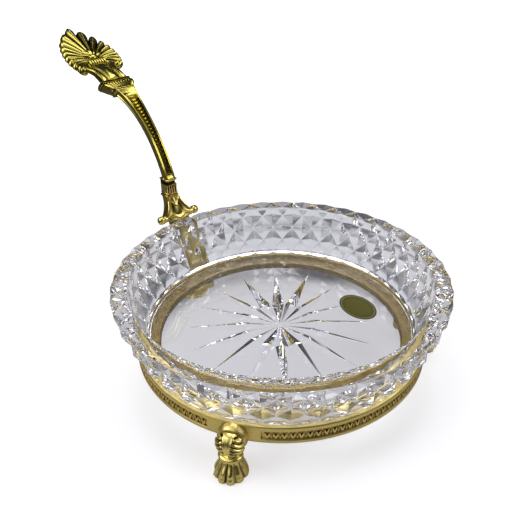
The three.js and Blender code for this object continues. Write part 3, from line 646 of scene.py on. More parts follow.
def star_cutter():
    bm = bmesh.new()
    corners = ((RAY_START, 0), (RAY_MIDDLE, -RAY_HALF), (RAY_END, 0), (RAY_MIDDLE, RAY_HALF))
    for ray in range(RAYS):
        kite = bmesh.ops.create_cone(bm, cap_ends=False, segments=4, radius1=1, radius2=0, depth=1)["verts"]
        base = [v for v in kite if v.co.z < 0]
        base.sort(key=lambda v: atan2(v.co.y, v.co.x))
        tip = [v for v in kite if v.co.z > 0][0]
        for vert, place in zip(base, corners):
            vert.co = (*place, 0)
        tip.co = (RAY_MIDDLE, 0, RAY_DEPTH)
        foot = list({e for v in base for e in v.link_edges if tip not in e.verts})
        below = bmesh.ops.extrude_edge_only(bm, edges=foot)
        lower = [v for v in below["geom"] if isinstance(v, bmesh.types.BMVert)]
        for vert in lower:
            vert.co.z = -1
        bmesh.ops.contextual_create(bm, geom=lower)
        swing(bm, kite + lower, ray / RAYS * tau)
    shift(bm, bm.verts, (0, 0, BOWL_Z))
    bmesh.ops.recalc_face_normals(bm, faces=bm.faces)
    return bm


# %% Cutting one mesh out of another
def cut_away(bm, cutter):
    """Takes one bmesh out of another and returns what is left."""
    blank = loose_object("blank", bm)
    tool = loose_object("cutter", cutter)
    cut = blank.modifiers.new("cut", "BOOLEAN")
    cut.operation = "DIFFERENCE"
    cut.solver = "EXACT"
    cut.object = tool
    rest = bmesh.new()
    rest.from_object(blank, bpy.context.evaluated_depsgraph_get())
    for done in (blank, tool):
        bpy.data.objects.remove(done)
    return rest


def soften_cuts(bm):
    """The polishing wheel leaves a hair-thin flat along every edge between two facets."""
    cuts = []
    for edge in bm.edges:
        middle = (edge.verts[0].co + edge.verts[1].co) / 2
        on_wall = middle.z > SHOULDER_Z + 1 and hypot(middle.x, middle.y) > RIM_R - 10.5
        if on_wall and len(edge.link_faces) == 2 and edge.calc_face_angle(0) > 0.12:
            cuts.append(edge)
    bmesh.ops.bevel(bm, geom=cuts, offset=0.14, segments=1, profile=0.5, affect="EDGES", material=-1)


# %% The bowl
bm = cut_away(cut_bowl(), star_cutter())
soften_cuts(bm)
swing(bm, bm.verts, BOWL_TURN)
bowl = piece("crystal_bowl", bm, crystal, "bowl", sharp=None)
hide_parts("glass_bowl")

# %% [markdown]
# ## The gallery ring
# The ring is cast in one: a band with a ledge inside it, on which the bowl sits. Its
# section is drawn once and spun. A frieze of small water leaves runs round it in a
# sunk strip, and the strip is filled and plain for a short stretch at each foot.

# %% The band
RING_R = 66.4
RING_INNER = 63.1
LEDGE_INNER = 55.6
LEDGE_TOP = 17.2
STRIP_LOW = 15.9
STRIP_HIGH = 20.0
STRIP_R = 65.35
FOOT_BEARINGS = {"left": 122.7, "right": -122.7, "rear": 0.0}


def ring_band():
    bm = bmesh.new()
    outline = [
        (LEDGE_INNER, RING_FOOT + 0.3), (LEDGE_INNER + 0.3, RING_FOOT), (RING_R - 0.9, RING_FOOT),
        (RING_R - 0.3, RING_FOOT + 0.25), (RING_R, RING_FOOT + 0.9), (RING_R - 0.05, STRIP_LOW - 0.35),
        (RING_R - 0.3, STRIP_LOW), (STRIP_R, STRIP_LOW + 0.1), (STRIP_R, STRIP_HIGH - 0.1),
        (RING_R - 0.3, STRIP_HIGH), (RING_R, STRIP_HIGH + 0.35), (RING_R - 0.1, 21.3), (RING_R, 21.9),
        (RING_R - 0.25, RING_TOP - 0.2), (RING_R - 0.7, RING_TOP), (RING_INNER + 0.5, RING_TOP),
        (RING_INNER, RING_TOP - 0.5), (RING_INNER, LEDGE_TOP), (LEDGE_INNER + 0.4, LEDGE_TOP),
        (LEDGE_INNER, LEDGE_TOP - 0.4), (LEDGE_INNER, RING_FOOT + 0.3),
    ]
    mark = shade_layer(bm)
    spun(bm, outline, 180)
    for vert in bm.verts:
        # Painted shade: the sunk strip is darkened, by 0.14 on the side of positive y up to 0.70 on the side
        # of negative y, and the inside of the band and the ledge under the bowl are darkened as well.
        if abs(hypot(vert.co.x, vert.co.y) - STRIP_R) < 0.1 and STRIP_LOW < vert.co.z < STRIP_HIGH:
            vert[mark] = 0.42 - 0.28 * sin(atan2(vert.co.y, vert.co.x))
        if hypot(vert.co.x, vert.co.y) < RING_INNER + 0.1 and vert.co.z < LEDGE_TOP + 0.1:
            vert[mark] = 0.6
    return bm


# %% The plain stretches and the bosses of the front feet
def plain_stretch(bm, bearing):
    half = radians(9.5)
    inside, low, high = 63.5, 15.2, 21.0
    outline = [(inside, low), (RING_R, low), (RING_R, high), (inside, high)]
    start = Matrix.Rotation(bearing - half, 3, "Z")
    verts = [bm.verts.new(start @ Vector((r, 0, z))) for r, z in outline]
    face = bm.faces.new(verts)
    bmesh.ops.spin(bm, geom=[face], cent=(0, 0, 0), axis=(0, 0, 1), angle=2 * half, steps=12)


def boss(bm, bearing):
    """A round button that stands out of the band, cut off at the underside of the ring."""
    outline = [(0, 3.2), (4.3, 3.2), (5.3, 2.9), (5.9, 2.2), (6.2, 1.4), (6.2, -1.6)]
    part = round_part(outline, 40, [(pi / 2, "Y")], (RING_R, 0, RING_FOOT + 2.2))
    cut_underside(part, part.verts[:] + part.edges[:] + part.faces[:])
    rim = [e for e in part.edges if e.is_boundary and e.verts[0].co.z < 14]
    bmesh.ops.holes_fill(part, edges=rim, sides=0)
    swing(part, part.verts, bearing)
    take_in(bm, part)


def cut_underside(bm, parts):
    """Cuts off what hangs below the underside of the ring."""
    level = (0, 0, RING_FOOT + 0.02)
    bmesh.ops.bisect_plane(bm, geom=parts, plane_co=level, plane_no=(0, 0, -1), clear_outer=True)


bm = ring_band()
for side, bearing in FOOT_BEARINGS.items():
    plain_stretch(bm, radians(bearing))
    if side != "rear":
        boss(bm, radians(bearing))

# %% [markdown]
# Each unit of the frieze is a pointed leaf drawn as a V, and a dart that stands in the
# gap to the next. Both are flat outlines, extruded and drawn in a little at the top so
# that their edges catch light. The unit is repeated round the ring, except at the feet.

# %% The leaves
LEAVES = 126
LEAF_FOOT = STRIP_R - 0.2
PLAIN_HALF = 9.8


def flat_relief(bm, outline, rise, narrowing):
    """An outline of (across, height) points raised from the strip, tapered at its top."""
    face = bm.faces.new([bm.verts.new((LEAF_FOOT, y, z)) for y, z in outline])
    top = bmesh.ops.extrude_face_region(bm, geom=[face])["geom"]
    lifted = [v for v in top if isinstance(v, bmesh.types.BMVert)]
    middle = sum((v.co for v in lifted), Vector()) / len(lifted)
    for vert in lifted:
        vert.co = middle + (vert.co - middle) * narrowing
        vert.co.x = LEAF_FOOT + rise


def leaf_unit():
    unit = bmesh.new()
    side = [(0.5, 16.5), (1.3, 19.0), (0.62, 19.0)]
    flat_relief(unit, [(0, 16.1), *side, (0, 17.5), *mirrored(side)], 0.95, 0.86)
    dart = [(1.4, 16.1), (1.95, 16.1), (1.85, 18.0), (1.675, 18.5), (1.5, 18.0)]
    flat_relief(unit, dart, 0.8, 0.7)
    return unit


def leaf_frieze(bm):
    for leaf in range(LEAVES):
        bearing = leaf / LEAVES * 360
        gap = min(abs((bearing - foot + 180) % 360 - 180) for foot in FOOT_BEARINGS.values())
        if gap >= PLAIN_HALF:
            unit = leaf_unit()
            swing(unit, unit.verts, radians(bearing))
            take_in(bm, unit)


leaf_frieze(bm)
ring = piece("ring_with_leaves", bm, satin, sharp=30)
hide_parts("gallery_ring")

# %% [markdown]
# ## The paw feet
# A foot is lofted: rings of points are stacked from the sole to the top and bridged.
# The toes are where a ring swells, and the clefts where it draws in. Above the paw come
# a collar and a ball with a pointed leaf in front and reeds that slope away to the
# sides. A box is cut out of its back where the ring passes, and behind it a flat ear
# takes the screw. Four small claws are cones sunk into the tips of the toes.


# %% The shape of a foot
FOOT_AXIS = 70.0
FOOT_TOP = 13.5
BALL_MIDDLE = 15.3
BALL_TALL = 5.5
REED_PITCH = 1.75


def foot_ring(z, front, rear, half, cleft=0.0, reeds=0.0, arc=0.0):
    points = []
    for i in range(96):
        angle = i / 96 * tau
        facing = cos(angle)
        toward_toes = clamp(2.2 * facing + 0.4)
        crest = abs(sin(5 * angle)) ** 0.42
        size = 1 - cleft * toward_toes * (1 - crest)
        # Painted shade in the clefts between the toes.
        deep = toward_toes * (1 - crest) ** 0.8 if cleft > 0.05 else 0.0
        reach = front if facing > 0 else rear
        side = half * sin(angle)
        if reeds and facing > -0.2:
            relief = ball_relief(side, arc)
            size *= 1 + reeds * relief
            # Painted shade where the ball's relief sinks: between the reeds and inside the leaf's raised
            # edge.
            deep = clamp(-1.1 * relief)
        points.append((FOOT_AXIS + reach * facing * size, side * size, z, deep))
    return points


def ball_relief(side, arc):
    """The leaf in front of the ball and the reeds beside it, from -1 to 1."""
    border = 0.1 + 1.8 * clamp((arc + 5) / 10)
    off = abs(side)
    if off < border + 0.35:
        edge = swell(off, border, 0.36)
        vein = 0.3 * swell(off, 0, 0.3)
        return edge + vein - 0.35 * (1 - edge)
    slope = arc + 0.55 * (off - border)
    return cos(slope / REED_PITCH * tau) - 0.7 * swell(off, border + 0.75, 0.3)


def foot_rings():
    """Each level is a height, how far it reaches to the front, rear and side, and its cleft."""
    toes = [
        (0.0, 7.2, 5.3, 6.8, 0.15), (0.25, 7.6, 5.6, 7.0, 0.19), (0.8, 7.9, 5.8, 7.05, 0.22),
        (1.6, 7.85, 5.95, 6.95, 0.22), (2.3, 7.5, 6.0, 6.65, 0.2), (2.9, 7.15, 6.0, 6.35, 0.2),
        (3.5, 7.0, 5.95, 6.05, 0.21), (4.1, 6.7, 5.85, 5.75, 0.22), (4.7, 6.25, 5.7, 5.4, 0.22),
        (5.4, 5.6, 5.4, 5.0, 0.21), (6.1, 4.95, 5.1, 4.65, 0.19), (6.8, 4.4, 4.9, 4.4, 0.15),
        (7.5, 3.9, 4.7, 4.2, 0.09),
    ]
    collar = [
        (8.2, 3.7, 4.65, 4.1), (8.35, 4.2, 4.7, 4.6), (8.7, 4.5, 4.75, 4.9), (9.3, 4.7, 4.75, 5.05),
        (9.9, 4.55, 4.75, 4.95), (10.3, 4.2, 4.7, 4.6), (10.4, 3.4, 4.6, 3.9),
    ]
    rings = [foot_ring(*level) for level in toes + collar]
    for share in shares(48)[1:]:
        rise = -0.84 + share * 1.78
        wide = dome(rise)
        height = BALL_MIDDLE + rise * BALL_TALL
        arc = 5.8 * asin(rise)
        rings.append(foot_ring(height, 4.3 * wide + 0.2, 4.56, 5.7 * wide, 0.0, 0.075, arc))
    return rings


def lug(bm):
    """The flat ear under the ledge that takes the screw."""
    bmesh.ops.create_cone(
        bm, cap_ends=True, segments=32, radius1=4, radius2=4, depth=3,
        matrix=Matrix.Translation((SCREW_CIRCLE, 0, FOOT_TOP - 1.5)),
    )
    bar = bmesh.ops.create_cube(bm, size=1)["verts"]
    bmesh.ops.scale(bm, vec=(8.6, 8, 3), verts=bar)
    shift(bm, bar, (SCREW_CIRCLE + 4.3, 0, FOOT_TOP - 1.5))


def claws(bm):
    for bearing in (-54, -18, 18, 54):
        cone = bmesh.ops.create_cone(bm, cap_ends=True, segments=10, radius1=0.85, radius2=0.12, depth=2.4)
        made = cone["verts"]
        swing(bm, made, radians(118), "Y")
        shift(bm, made, (7.0, 0, 1.25))
        swing(bm, made, radians(bearing))
        bmesh.ops.scale(bm, verts=made, vec=(1, 0.93, 1))
        shift(bm, made, (FOOT_AXIS, 0, 0))


def box_between(bm, lowest, highest):
    bmesh.ops.create_cube(bm, size=1)
    bmesh.ops.scale(bm, vec=Vector(highest) - Vector(lowest), verts=bm.verts)
    shift(bm, bm.verts, (Vector(highest) + Vector(lowest)) / 2)


# %% The three feet
def paw_foot(side, bearing):
    blank = bmesh.new()
    loft(blank, foot_rings())
    bmesh.ops.recalc_face_normals(blank, faces=blank.faces)
    room = bmesh.new()
    box_between(room, (50, -20, FOOT_TOP), (69.9, 20, 30))
    foot = cut_away(blank, room)
    lug(foot)
    claws(foot)
    swing(foot, foot.verts, radians(bearing))
    made = piece("paw_" + side, foot, painted_lit_gilt, sharp=48)
    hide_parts("paw_foot_" + side)


for side, bearing in FOOT_BEARINGS.items():
    paw_foot(side, bearing)

# %% [markdown]
# ## The line of the handle
# The face of the handle towards the bowl follows one line: up behind the bowl, up the
# skirt and the block, round a long arc and out along the head. All but the block and the
# palmette are lofted from cross-sections that stand square to a slope at a point of it.

# %% Points of the handle
SKIRT_FOOT = Vector((79.6, 46.0))
BLOCK_FOOT = Vector((85.8, 56.5))
BLOCK_TOP = Vector((85.8, 66.5))
ARC_R = 71.6
START_SLOPE, END_SLOPE, CAPITAL_SLOPE, HEAD_SLOPE = 70.0, 24.5, 47.0, 16.5


def square_to(slope):
    """The direction of lift, square to a slope."""
    a = radians(slope)
    return Vector((-sin(a), cos(a)))


ARC_CENTRE = BLOCK_TOP - ARC_R * square_to(START_SLOPE)
ALONG = Vector((cos(radians(HEAD_SLOPE)), sin(radians(HEAD_SLOPE))))


def on_arc(slope):
    return ARC_CENTRE + ARC_R * square_to(slope)


CAPITAL_FOOT = on_arc(END_SLOPE)
PALMETTE_HEART = CAPITAL_FOOT + 31 * ALONG - Vector((0, 0.8))


def across(point, slope, outline):
    """Places (side, lift) or (side, lift, painted shade) points; lift is towards the bowl."""
    a = radians(slope)
    return [
        (point.x - lift * sin(a), side, point.y + lift * cos(a), *deep)
        for side, lift, *deep in outline
    ]


print("the palmette's heart is at", [round(c, 1) for c in PALMETTE_HEART])

# %% [markdown]
# ## Strap, skirt and scrolls
# The strap is a plain bar that shows only through the crystal. The skirt is a leaf that
# hangs over it: a middle vein that forks at the top, two hollow fields, a wavy hem with
# a groove under it, and two horns at its ends. One function gives its relief, as a sum
# of soft humps, so each fold can be changed on its own.


# %% The strap
STRAP_WIDTH = 13
STRAP_DEPTH = 2.9


def bar_outline(width):
    half, edge, share = width / 2, 0.3, 0.6
    side = [(-half, -edge), (-half, -share * STRAP_DEPTH), (-share * half, -STRAP_DEPTH)]
    return [(half - edge, 0), (0, 0.12), (-half + edge, 0), *side, *mirrored(side)]


def behind_bowl(share):
    """A point of the strap's front: it follows the wall and leaves it towards the rim."""
    z = lerp(SHOULDER_Z, SKIRT_FOOT.y + 3, share)
    depth = max(0.0, RIM_Z - z)
    return Vector((wall_radius(RIM_R, WALL_DRAW, depth) + lerp(0.9, 6.8, share), z))


def strap():
    bm = bmesh.new()
    rings = [across(Vector((66.7, z)), 90, bar_outline(STRAP_WIDTH)) for z in (16.0, 20.6)]
    for share in shares(18):
        ahead = behind_bowl(share + 0.03) - behind_bowl(share - 0.03)
        slope = degrees(atan2(ahead.y, ahead.x))
        width = lerp(STRAP_WIDTH, STRAP_WIDTH - 1, min(1, 2 * share))
        rings.append(across(behind_bowl(share), slope, bar_outline(width)))
    loft(bm, rings)
    round_end(bm)
    return bm


def round_end(bm):
    """The round foot of the strap, in front of the ring."""
    disc = bmesh.ops.create_cone(
        bm, cap_ends=True, segments=48, radius1=6.5, radius2=6.2, depth=STRAP_DEPTH,
    )["verts"]
    swing(bm, disc, pi / 2, "Y")
    shift(bm, disc, (68.15, 0, 16.0))
    cut_underside(bm, list({g for v in disc for g in (v, *v.link_edges, *v.link_faces)}))
    bmesh.ops.holes_fill(bm, edges=[e for e in bm.edges if e.is_boundary], sides=0)


piece("handle_strap", strap(), dark_gilt)


# %% The relief of the skirt
def skirt_relief(u, t):
    """How far the front stands out at a share across, from -1 to 1, and a share up."""
    vein = 1.1 * swell(u, 0, 0.12) * (0.25 < t < 0.75)
    fork = 1.1 * swell(abs(u), 0.95 * (t - 0.68) / 0.32, 0.14) * (t > 0.66)
    field = -1.1 * swell(abs(u), 0.45, 0.3) * sin(pi * clamp((t - 0.2) / 0.9)) ** 0.6
    edge = 0.5 * swell(abs(u), 0.95, 0.16)
    wave = cos(2.2 * pi * u)
    hem = 0.7 * swell(t, 0.19 - 0.07 * wave, 0.05)
    groove = -0.5 * swell(t, 0.1 - 0.05 * wave, 0.07)
    return vein + fork + field + edge + hem + groove


# %% The skirt and its scrolls
def skirt_ring(t):
    flare = (1 - t) ** 1.5
    half = lerp(7.6, 21.0, flare) / 2
    depth = lerp(6.2, 6.4, flare)
    front = []
    for i in range(33):
        u = 1 - i / 16
        bow = lerp(0.55, -1.6 * flare, abs(u) ** 1.6)
        relief = skirt_relief(u, t)
        # The third value is painted shade, in the hollow fields and the groove under the hem.
        front.append((half * u, bow + relief * 0.75 - 0.25, max(0.0, -0.85 * relief)))
    left = [(-half, -depth * 0.6), (-half * 0.8, -depth)]
    point = Vector((lerp(SKIRT_FOOT.x, BLOCK_FOOT.x, t ** 1.6), lerp(SKIRT_FOOT.y, BLOCK_FOOT.y, t)))
    return across(point, 90, [*front, *left, (0, -depth - 0.4), *mirrored(left)])


def scroll(bm, side):
    """A horn that ends the skirt, turned about a line across the handle."""
    outline = [
        (0, -0.5), (1.5, -0.5), (1.85, 1.2), (1.7, 1.7), (1.7, 1.9), (2.15, 2.3),
        (2.2, 3.1), (2.1, 4.2), (1.7, 4.9), (0.9, 5.3), (0, 5.4),
    ]
    place = (SKIRT_FOOT.x + 2.6, side * 7.0, SKIRT_FOOT.y + 1.2)
    take_in(bm, round_part(outline, 32, [(-side * pi / 2, "X")], place))


bm = bmesh.new()
loft(bm, [skirt_ring(t) for t in shares(48)])
for side in (1, -1):
    scroll(bm, side)
piece("handle_skirt", bm, warm_gilt, sharp=50)

# %% [markdown]
# ## The slotted block
# Between the skirt and the curved part sits a small block: a plain fillet at each end,
# a dark hollow line inside each, and three upright bars on a sunk front. The bars are
# what is left between slots, so the front is made of thin rounded boxes before a deeper
# core, which is painted with shade. Its finish paints shade only into recesses half a
# millimetre away or nearer, so the bars stay pale; its gold is a lighter copy, painted light.


# %% Boxes with softened edges
def soft_box(bm, lowest, highest, round_off, deep=0.0):
    part = bmesh.new()
    mark = shade_layer(part)
    box_between(part, lowest, highest)
    bmesh.ops.bevel(
        part, geom=part.edges[:], offset=round_off, segments=2, profile=0.5, affect="EDGES", material=-1,
    )
    for vert in part.verts:
        vert[mark] = deep
    take_in(bm, part)


def slotted_block():
    bm = bmesh.new()
    front, deep = BLOCK_FOOT.x, 6.2
    low_z, high_z = BLOCK_FOOT.y, BLOCK_TOP.y

    # The core behind the bars is painted with shade, so the slots come out dark.
    soft_box(bm, (front + 1.3, -2.95, low_z - 0.3), (front + deep, 2.95, high_z + 0.2), 0.15, 1.3)
    soft_box(bm, (front - 0.35, -3.75, low_z + 0.1), (front + deep + 0.35, 3.75, low_z + 1.3), 0.55)
    soft_box(bm, (front - 0.1, -3.4, low_z + 1.8), (front + deep, 3.4, low_z + 2.5), 0.3)
    soft_box(bm, (front - 0.1, -3.2, high_z - 3.3), (front + deep, 3.2, high_z - 2.8), 0.24)
    soft_box(bm, (front - 0.35, -3.4, high_z - 0.5), (front + deep + 0.35, 3.4, high_z + 0.3), 0.35)
    upright = [(-2.75, deep, 0.25), (2.75, deep, 0.25), (-1.35, 1.8, 0.28), (0, 1.8, 0.28), (1.35, 1.8, 0.28)]
    for middle, back, round_off in upright:
        lowest = (front - 0.05, middle - 0.3, low_z + 2.4)
        soft_box(bm, lowest, (front + back, middle + 0.3, high_z - 3.2), round_off)
    return bm


piece("handle_block", slotted_block(), crisp_lit_gilt, weld=0.0001)

# %% [markdown]
# ## The curved pilaster
# Its front is a long panel between double raised borders, filled with a run of small
# U-shaped tongues that ends in a plain field below the capital. The borders are part of
# the section, and each tongue is a short bar bent round and laid in the channel.


# %% The pilaster
def panel_outline(width, depth, sunk):
    half = width / 2
    # Painted shade in the grooves of the borders and in the sunk channel.
    dark = min(1.0, sunk)
    border = [
        (half - 0.12, 0, 0), (half - 0.36, 0, 0), (half - 0.42, -0.3, dark), (half - 0.6, -0.3, dark),
        (half - 0.66, -0.05, 0), (half - 0.92, -0.05, 0), (half - 1.0, -sunk, dark),
    ]
    side = [
        (-half, -0.15), (-half, -0.42 * depth), (-0.9 * half, -0.5 * depth),
        (-0.98 * half, -0.576 * depth), (-0.9 * half, -0.6 * depth), (-0.6 * half, -depth),
    ]
    return border + mirrored(border) + side + mirrored(side)


def pilaster_station(t):
    """A point of the line, its slope, and the width and depth there."""
    width = lerp(5.4, 10.4, t ** 4.5)
    depth = lerp(6.0, 7.6, t ** 3)
    return on_arc(lerp(START_SLOPE, END_SLOPE, t)), lerp(START_SLOPE, CAPITAL_SLOPE, t), width, depth


def pilaster():
    bm = bmesh.new()
    rings = [across(BLOCK_TOP - Vector((0, 1)), 90, panel_outline(5.4, 6, 0.1))]
    for t in shares(48):
        point, slope, width, depth = pilaster_station(t)
        sunk = lerp(0.06, 1.0, clamp(min(14 * t, 12 * (0.91 - t))))
        rings.append(across(point, slope, panel_outline(width, depth, sunk)))
    loft(bm, rings)
    return bm


# %% The running tongues
TONGUES = 23
TONGUE_HALF = 0.42


def tongue(bm, t):
    """One small U that lies in the channel: a bent bar with its ends towards the capital."""
    point, slope, width, _ = pilaster_station(t)
    ahead = on_arc(lerp(START_SLOPE, END_SLOPE, min(1, t + 0.02))) - point
    run = atan2(ahead.y, ahead.x)
    half = max(0.7, width / 2 - 1.3)
    part = bmesh.new()
    line = []
    for share in shares(8):
        turn = pi * share
        line.append((0.9 - 1.1 * sin(turn) ** 0.7, half * cos(turn)))
    rings = []
    for i, (u, v) in enumerate(line):
        before, after = line[max(0, i - 1)], line[min(8, i + 1)]
        along = Vector((after[0] - before[0], after[1] - before[1])).normalized() * TONGUE_HALF
        rings.append([(u - along.y, v + along.x, -0.5), (u, v, 0.4), (u + along.y, v - along.x, -0.5)])
    loft(part, rings)
    swing(part, part.verts, -run, "Y")
    place = point - square_to(slope) * 0.4
    shift(part, part.verts, (place.x, 0, place.y))
    take_in(bm, part)


bm = pilaster()
for share in shares(TONGUES - 1):
    tongue(bm, lerp(0.05, 0.88, share))
piece("handle_pilaster", bm, fine_gilt, sharp=45)

# %% [markdown]
# ## The capital and the neck
# The capital spreads upwards in one loft: a bead, a bell whose front is cut in upright
# reeds, and a plate of two steps. Narrow stations between them leave sunk lines that are
# also painted with shade, and a round moulding stands up each front corner. The neck is
# a leaf between two bands: its outline across has three humps, and it bends over from
# the capital into the head.


# %% The capital
def head_station(distance):
    return CAPITAL_FOOT + distance * ALONG


def reeded_outline(width, depth, lift, reeding=0, deep=0):
    half = width / 2
    reeds, steps = 9, 6
    front = []
    for u in shares(reeds * steps):
        ridge = abs(sin(pi * u * reeds)) ** 0.6
        # Painted shade in the grooves between the reeds, or the station's own painted shade.
        dark = max(deep, reeding * (1 - ridge) ** 0.6)
        front.append((half * (1 - 2 * u) * 0.9, lift - 0.8 * reeding * (1 - ridge), dark))
    side = [
        (0.1 - 0.95 * half, lift - 0.08), (0.05 - 0.98 * half, lift - 0.35), (-0.99 * half, lift - 0.8),
        (-half, lift - 1.4), (-half - 0.45, lift - 2.3), (-half - 0.7, -0.35 * depth),
        (-half - 0.65, -0.5 * depth), (-half - 0.3, -0.7 * depth), (-0.97 * half, -0.87 * depth),
        (-0.86 * half, -depth),
    ]
    return front + [(x, y, deep) for x, y in side + mirrored(side)]


def corner_roll(bm, side):
    """A round moulding up each front corner of the bell, thicker towards the plate."""
    rings = []
    for t in shares(16):
        thick = lerp(1.0, 1.7, t) * sin(pi * lerp(0.06, 0.94, t)) ** 0.35
        middle = side * (lerp(11.2, 15.0, t) / 2 + 0.1)
        ring = []
        for i in range(16):
            a = i / 16 * tau
            ring.append((middle + thick * cos(a), thick * sin(a) - 0.95))
        rings.append(across(head_station(lerp(1.3, 7.7, t)), CAPITAL_SLOPE, ring))
    loft(bm, rings)


def capital():
    """Each station is a distance along the head, a width, a depth and a lift, then reeding and painted shade.
    """
    stations = [
        (-0.9, 9.8, 7.4, -0.6), (-0.8, 10.8, 7.9, -0.3), (-0.4, 11.4, 8.2, -0.02),
        (0.3, 11.5, 8.2, -0.02), (0.6, 11.0, 8.0, -0.2, 0, 0.2), (0.7, 10.2, 7.5, -0.9, 0, 1),
        (1.1, 10.3, 7.5, -0.9, 0, 1), (1.2, 11.0, 8.0, -0.35), (1.5, 11.3, 8.2, -0.25),
        (1.7, 11.3, 8.2, -0.25, 1), (3.5, 12.6, 8.8, -0.2, 1), (5.5, 14.0, 9.3, -0.15, 1),
        (7.4, 15.3, 9.7, -0.15, 1), (7.5, 15.4, 9.8, -0.15), (7.8, 15.4, 9.8, -0.2, 0, 0.2),
        (7.9, 14.8, 9.3, -0.9, 0, 1), (8.2, 14.9, 9.4, -0.9, 0, 1), (8.3, 15.9, 10.0, -0.3),
        (8.5, 16.6, 10.3, -0.05), (9.3, 16.6, 10.3, -0.05), (9.4, 16.0, 10.0, -0.4, 0, 0.8),
        (9.55, 16.0, 10.0, -0.4, 0, 0.8), (9.65, 16.7, 10.4, 0), (10.4, 16.8, 10.4, 0),
        (10.7, 16.2, 10.0, -0.3),
    ]
    bm = bmesh.new()
    loft(bm, [across(head_station(at), CAPITAL_SLOPE, reeded_outline(*form)) for at, *form in stations])
    for side in (1, -1):
        corner_roll(bm, side)
    return bm


piece("handle_capital", capital(), fine_gilt, sharp=45)


# %% The neck
def leaf_outline(width, depth, rise):
    """A domed leaf in the middle and a rounded band along each edge, with sunk lines between that carry
    painted shade.
    """
    half = width / 2
    front = []
    for i in range(33):
        u = 1 - i / 16
        height = max(dome(u / 0.48), 0.7 * dome((abs(u) - 0.77) / 0.23))
        front.append((half * u, rise * height - 0.7, max(0.0, 0.9 - 2.2 * height)))
    side = [(-half, -0.7 * depth), (-0.6 * half, -depth)]
    return front + side + mirrored(side)


def neck():
    """Each station is a distance along the head, a slope, a width, a depth and a rise."""
    stations = [
        (10.2, 43, 15, 7.4, 0.5), (11.5, 38, 14.4, 6.4, 1.3), (13.5, 33, 14, 5.4, 1.7),
        (16.2, 28.7, 14.4, 4.6, 1.8), (18.5, 22, 14.4, 4.3, 1.8), (20.7, HEAD_SLOPE, 14.4, 4, 1.7),
        (23, HEAD_SLOPE, 15.6, 3.9, 1.3), (24.6, HEAD_SLOPE, 17, 3.8, 0.9), (26.9, HEAD_SLOPE, 20, 3.6, 0.8),
        (29.4, HEAD_SLOPE, 19, 3.4, 0.6), (33, HEAD_SLOPE, 9, 3, 0.4),
    ]
    bm = bmesh.new()
    loft(bm, [across(head_station(at), slope, leaf_outline(*form)) for at, slope, *form in stations])
    return bm


piece("handle_neck", neck(), fine_gilt, sharp=50)

# %% [markdown]
# ## The palmette
# The fan is a flat grid: its columns are spread out from the heart, and its last row
# follows the outline. Each lobe is a ridge that swells towards its tip and turns over at
# the edge, with a deep cleft to the next. The sheet gets its thickness at the end. Moving
# the points of a grid keeps the lobes one sheet, as they are in the casting.

# %% Sizes of the palmette
FAN_SLOPE = radians(20)
FAN_LENGTH = 37.4
FAN_SHOULDER = 14.3
LOBES = 17


def fan_reach(bearing):
    """How far the outline is from the heart at a bearing, in degrees."""
    return FAN_SHOULDER + (FAN_LENGTH - FAN_SHOULDER) * exp(-((abs(bearing) / 36) ** 1.2))


def lobe_bearing(lobe):
    return lobe * (11.2 + 0.34 * abs(lobe))


def on_fan(u, v, lift):
    x = PALMETTE_HEART.x + u * cos(FAN_SLOPE) - lift * sin(FAN_SLOPE)
    z = PALMETTE_HEART.y + u * sin(FAN_SLOPE) + lift * cos(FAN_SLOPE)
    return Vector((x, v, z))


# %% The fan
def fan_point(x, y):
    """Where a point of the grid goes, and its painted shade; x runs across the lobes, y outwards."""
    lobe = (x + 1) / 2 * LOBES - LOBES / 2
    share = 0.1 + 0.9 * (y + 1) / 2
    nearest = max(-(LOBES // 2), min(LOBES // 2, round(lobe)))
    ridge = dome((2.1 + 0.9 * (1 - share)) * abs(lobe - nearest))
    bearing = lobe_bearing(lobe)
    spacing = radians(lobe_bearing(nearest + 0.5) - lobe_bearing(nearest - 0.5))
    reach = fan_reach(bearing)
    breadth = reach * spacing
    rim = 1 - 0.36 * breadth / reach * (1 - ridge)
    curve = 0.64 + 0.36 * share ** 1.2
    tip = 0.4 * breadth / reach
    near_tip = max(0.0, (share - 1 + tip) / tip)
    roundness = sqrt(max(0.0, 1 - 0.9 * near_tip ** 2))
    height = 0.5 * breadth * share ** 0.85 * ridge * roundness
    a = radians(bearing * curve)
    droop = lerp(0.3, 1.7, max(0.0, cos(1.6 * a)) ** 2)
    lift = 0.15 + height - droop * share - 1.2 * near_tip ** 2
    out = (reach * rim - 0.35) * share
    # Painted shade in the clefts between the lobes and near the heart, less at the turned-over tips.
    deep = max(2.1 - 2.3 * ridge, 0.8 - 2.2 * share)
    return on_fan(out * cos(a), out * sin(a), lift), clamp(deep) * (1 - 0.5 * near_tip)


def palmette():
    bm = bmesh.new()
    mark = shade_layer(bm)
    bmesh.ops.create_grid(bm, x_segments=LOBES * 12, y_segments=22, size=1)
    for vert in bm.verts:
        vert.co, vert[mark] = fan_point(vert.co.x, vert.co.y)
    bmesh.ops.recalc_face_normals(bm, faces=bm.faces)
    up = Vector((-sin(FAN_SLOPE), 0, cos(FAN_SLOPE)))
    if sum(f.normal.dot(up) for f in bm.faces) < 0:
        bmesh.ops.reverse_faces(bm, faces=bm.faces)
    bmesh.ops.solidify(bm, geom=bm.faces[:], thickness=1.4)
    return bm


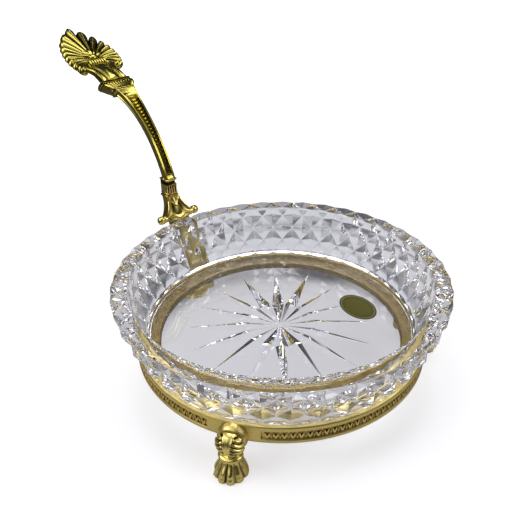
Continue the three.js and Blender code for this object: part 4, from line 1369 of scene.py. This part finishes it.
fan = piece("palmette", palmette(), fine_gilt, sharp=60, weld=0.0001)
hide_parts("handle")


# %% [markdown]
# At the root of the fan a bunch of small leaves covers where the lobes meet, seven short
# reeds stand below it, and the edges of the neck curl into a volute on each side. The
# leaves and reeds are stretched balls, sunk halfway into the fan, and a volute is spun.


# %% The heart and the volutes
def volute(bm, side):
    """A ball in a raised ring, where the neck curls round beside the fan."""
    outline = [
        (0, 1.9), (0.7, 1.8), (1.2, 1.45), (1.4, 0.9), (1.6, 0.75), (1.9, 1.1),
        (2.3, 1.0), (2.6, 0.3), (2.6, -1.2), (2.1, -1.9), (0, -2.2),
    ]
    turns = [(side * 0.35, "X"), (-FAN_SLOPE, "Y")]
    take_in(bm, round_part(outline, 28, turns, on_fan(-4.4, side * 10.4, -0.6)))


def bud(bm, u, v, size, bearing, lift=1.2):
    petal = bmesh.ops.create_uvsphere(bm, u_segments=20, v_segments=12, radius=1)["verts"]
    bmesh.ops.scale(bm, vec=size, verts=petal)
    swing(bm, petal, bearing)
    swing(bm, petal, -FAN_SLOPE, "Y")
    shift(bm, petal, on_fan(u, v, lift))


bm = bmesh.new()
for side in (1, -1):
    volute(bm, side)
    bud(bm, 8.0, side * 2.3, (3.4, 1.0, 0.9), side * 0.5)
    bud(bm, 5.6, side * 4.0, (2.9, 1.0, 0.9), side * 1.1)
bud(bm, 8.6, 0, (3.6, 1.1, 1.1), 0, 1.4)
bud(bm, 4.4, 0, (2.0, 2.4, 1.1), 0, 1.0)
for reed in range(-3, 4):
    bud(bm, 0.2, reed * 1.45, (2.9, 0.62, 0.9), 0.0, 0.9)
piece("palmette_heart", bm, gilt, sharp=50)

# %% [markdown]
# ## Finishes on the solids that stay
# The label and the screws have the right shape already, so they keep their solids and
# take a new material in every slot. Nodes that a piece replaces are hidden.

# %% The carried-over solids
for name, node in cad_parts.items():
    for slot in node.material_slots:
        slot.material = foil if name == "foil_label" else screw_brass
print("solids that stay:", [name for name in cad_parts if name.endswith("label") or "screw" in name])
